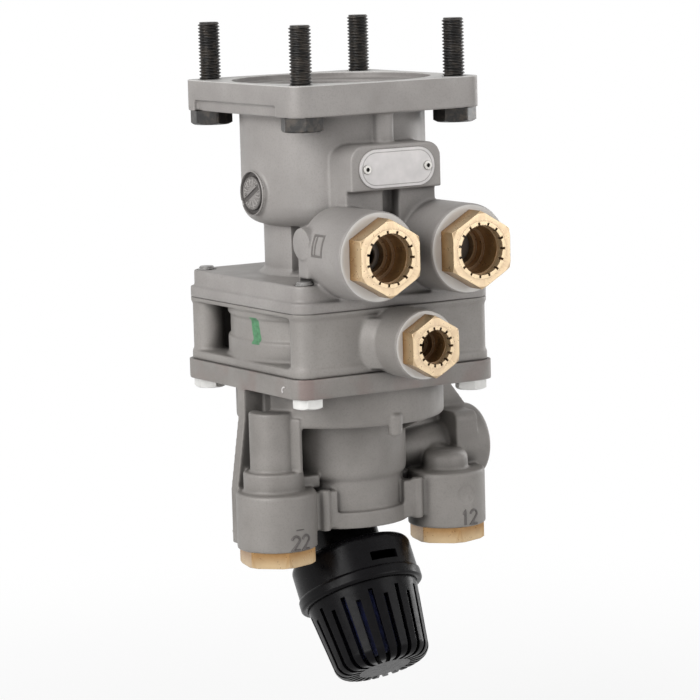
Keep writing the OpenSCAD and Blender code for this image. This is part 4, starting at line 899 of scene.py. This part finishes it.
bolts, bolt_faces = fasteners(BOLT_HALF, BOLT_TURNS, **BOLT)
bolt_set = mesh_object("black_bolts", bolts, bolt_faces, 35, BLACK_BOLT, "black_bolt")
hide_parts("mounting_bolts")
screws, screw_faces = fasteners(SCREW_HALF, SCREW_TURNS, **SCREW)
screw_set = mesh_object("zinc_screws", screws, screw_faces, 35, ZINC, "zinc_screw")
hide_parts("housing_screws")
date_dial()
foot_web()
cast_marks()
plate_border()

# Springs and the rubber block, copied onto their bodies: node, new piece, body, slot, joint, height of the
# end that stays, and travel
YIELDING = [
    ("rubber_spring", "rubber_block", "upper_piston", "rubber",
     "plunger_press", -41.5 * MM, 4.0 * MM),
    ("piston_return_spring", "piston_coil", "housing", "spring_steel",
     "upper_piston_slide", -58.0 * MM, 5.0 * MM),
    ("upper_valve_spring", "upper_valve_coil", "housing", "spring_steel",
     "upper_valve_slide", -88.0 * MM, 3.5 * MM),
    ("relay_return_spring", "relay_coil", "housing", "spring_steel",
     "relay_piston_slide", -122.0 * MM, 4.0 * MM),
    ("lower_valve_spring", "lower_valve_coil", "housing", "spring_steel",
     "lower_valve_slide", -176.5 * MM, 2.7 * MM),
]


def yielding(node, piece, body, slot, joint, fixed_z, travel):
    """A copy of a spring or rubber block, attached to its body in place of the node."""
    obj = link(nodes[node].data.copy(), piece)
    obj.matrix_world = nodes[node].matrix_world.copy()
    smooth_by_angle(obj, 30)
    dress(obj, look_of(node))
    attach(obj, body)
    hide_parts(node)
    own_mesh(obj)


for row in YIELDING:
    yielding(*row)

# Light, floor and camera

VALVE_MIDDLE = Vector((0.0, 0.0, -0.12))


def area(name, size, power, at):
    """A soft rectangular lamp that looks at the valve's middle."""
    data = bpy.data.lights.new(name, "AREA")
    data.shape = "RECTANGLE"
    data.size, data.size_y = size
    data.energy = power
    obj = bpy.data.objects.new(name, data)
    obj.location = at
    way = VALVE_MIDDLE - Vector(at)
    obj.rotation_euler = way.to_track_quat("-Z", "Y").to_euler()
    bpy.context.scene.collection.objects.link(obj)


def seen_directly(tree):
    """1 for camera, glossy and transmission rays, 0 for the light that falls on things."""
    path = add(tree, "ShaderNodeLightPath")
    seen = math_node(tree, "MAXIMUM", path.outputs["Is Camera Ray"], path.outputs["Is Glossy Ray"])
    return math_node(tree, "MAXIMUM", seen, path.outputs["Is Transmission Ray"])


def one_or_other(tree, share, first, second, end):
    """Leads two shaders to an output, the second one by its share."""
    either = add(tree, "ShaderNodeMixShader")
    tree.links.new(share, either.inputs[0])
    tree.links.new(first.outputs[0], either.inputs[1])
    tree.links.new(second.outputs[0], either.inputs[2])
    tree.links.new(either.outputs[0], end.inputs["Surface"])


def plain_light(tree, strength):
    node = add(tree, "ShaderNodeBackground")
    node.inputs["Color"].default_value = (1, 1, 1, 1)
    node.inputs["Strength"].default_value = strength
    return node


def studio_world():
    """Weak light from all round, and white where the camera or a shiny face sees the world."""
    world = bpy.data.worlds.new("studio")
    bpy.context.scene.world = world
    world.use_nodes = True
    tree = world.node_tree
    for node in list(tree.nodes):
        tree.nodes.remove(node)
    out = add(tree, "ShaderNodeOutputWorld")
    one_or_other(tree, seen_directly(tree), plain_light(tree, 0.24), plain_light(tree, 1.0), out)


def white_floor(half, height):
    """A pale floor below the valve, which fades to white away from it."""
    mesh = bpy.data.meshes.new("floor")
    corners = [(-half, -half, 0), (half, -half, 0), (half, half, 0), (-half, half, 0)]
    mesh.from_pydata(corners, [], [(0, 1, 2, 3)])
    floor = link(mesh, "floor")
    floor.location = (0, 0, height)
    mat, tree, shader = new_material("floor_white")
    shader.inputs["Base Color"].default_value = linear(248, 248, 248)
    shader.inputs["Roughness"].default_value = 0.9
    paper = add(tree, "ShaderNodeEmission")
    paper.inputs["Strength"].default_value = 1.0
    far_off = add(tree, "ShaderNodeVectorMath", operation="LENGTH")
    tree.links.new(add(tree, "ShaderNodeNewGeometry").outputs["Position"], far_off.inputs[0])
    fade = add(tree, "ShaderNodeMapRange", interpolation_type="SMOOTHSTEP")
    tree.links.new(far_off.outputs["Value"], fade.inputs["Value"])
    fade.inputs["From Min"].default_value = 0.25
    fade.inputs["From Max"].default_value = 0.7
    fade.inputs["To Min"].default_value = 0.7
    fade.inputs["To Max"].default_value = 1.0
    share = math_node(tree, "MULTIPLY", seen_directly(tree), fade.outputs["Result"])
    one_or_other(tree, share, shader, paper, tree.nodes["Material Output"])
    dress(floor, mat)


# The photo's camera, as fitted to the flange, the joint planes and the bolts
FOCAL_PX = 3244.55
PHOTO_PX = 700
SENSOR = 36.0
LOOK_RIGHT = (0.8477, -0.5297, -0.0270)
LOOK_BACK = (-0.5217, -0.8420, 0.1377)
TARGET = (0.0, 0.0, -0.12445)
SIDESTEP = 0.005228
DISTANCE = 1.484


def photo_camera():
    camera = bpy.data.cameras.new("camera")
    camera.sensor_width = SENSOR
    camera.lens = SENSOR * FOCAL_PX / PHOTO_PX
    camera.clip_start = 0.05
    camera.clip_end = 20.0
    eye = bpy.data.objects.new("camera", camera)
    right = Vector(LOOK_RIGHT).normalized()
    back = Vector(LOOK_BACK)
    back = (back - right * back.dot(right)).normalized()
    up = back.cross(right).normalized()
    place = Vector(TARGET) + right * SIDESTEP + back * DISTANCE
    eye.matrix_world = Matrix((
        (right.x, up.x, back.x, place.x),
        (right.y, up.y, back.y, place.y),
        (right.z, up.z, back.z, place.z),
        (0, 0, 0, 1)))
    bpy.context.scene.collection.objects.link(eye)
    bpy.context.scene.camera = eye


area("key", (1.2, 1.2), 24.5, (-1.45, -0.45, 0.55))
area("front", (0.9, 0.9), 5.4, (0.75, -1.2, 0.2))
area("side", (0.3, 0.9), 4.5, (1.1, 0.15, 0.15))
area("top", (0.9, 0.9), 1.6, (-0.2, -0.3, 1.1))
studio_world()
white_floor(3.0, -0.34)
photo_camera()
bpy.context.scene.view_settings.view_transform = "Standard"
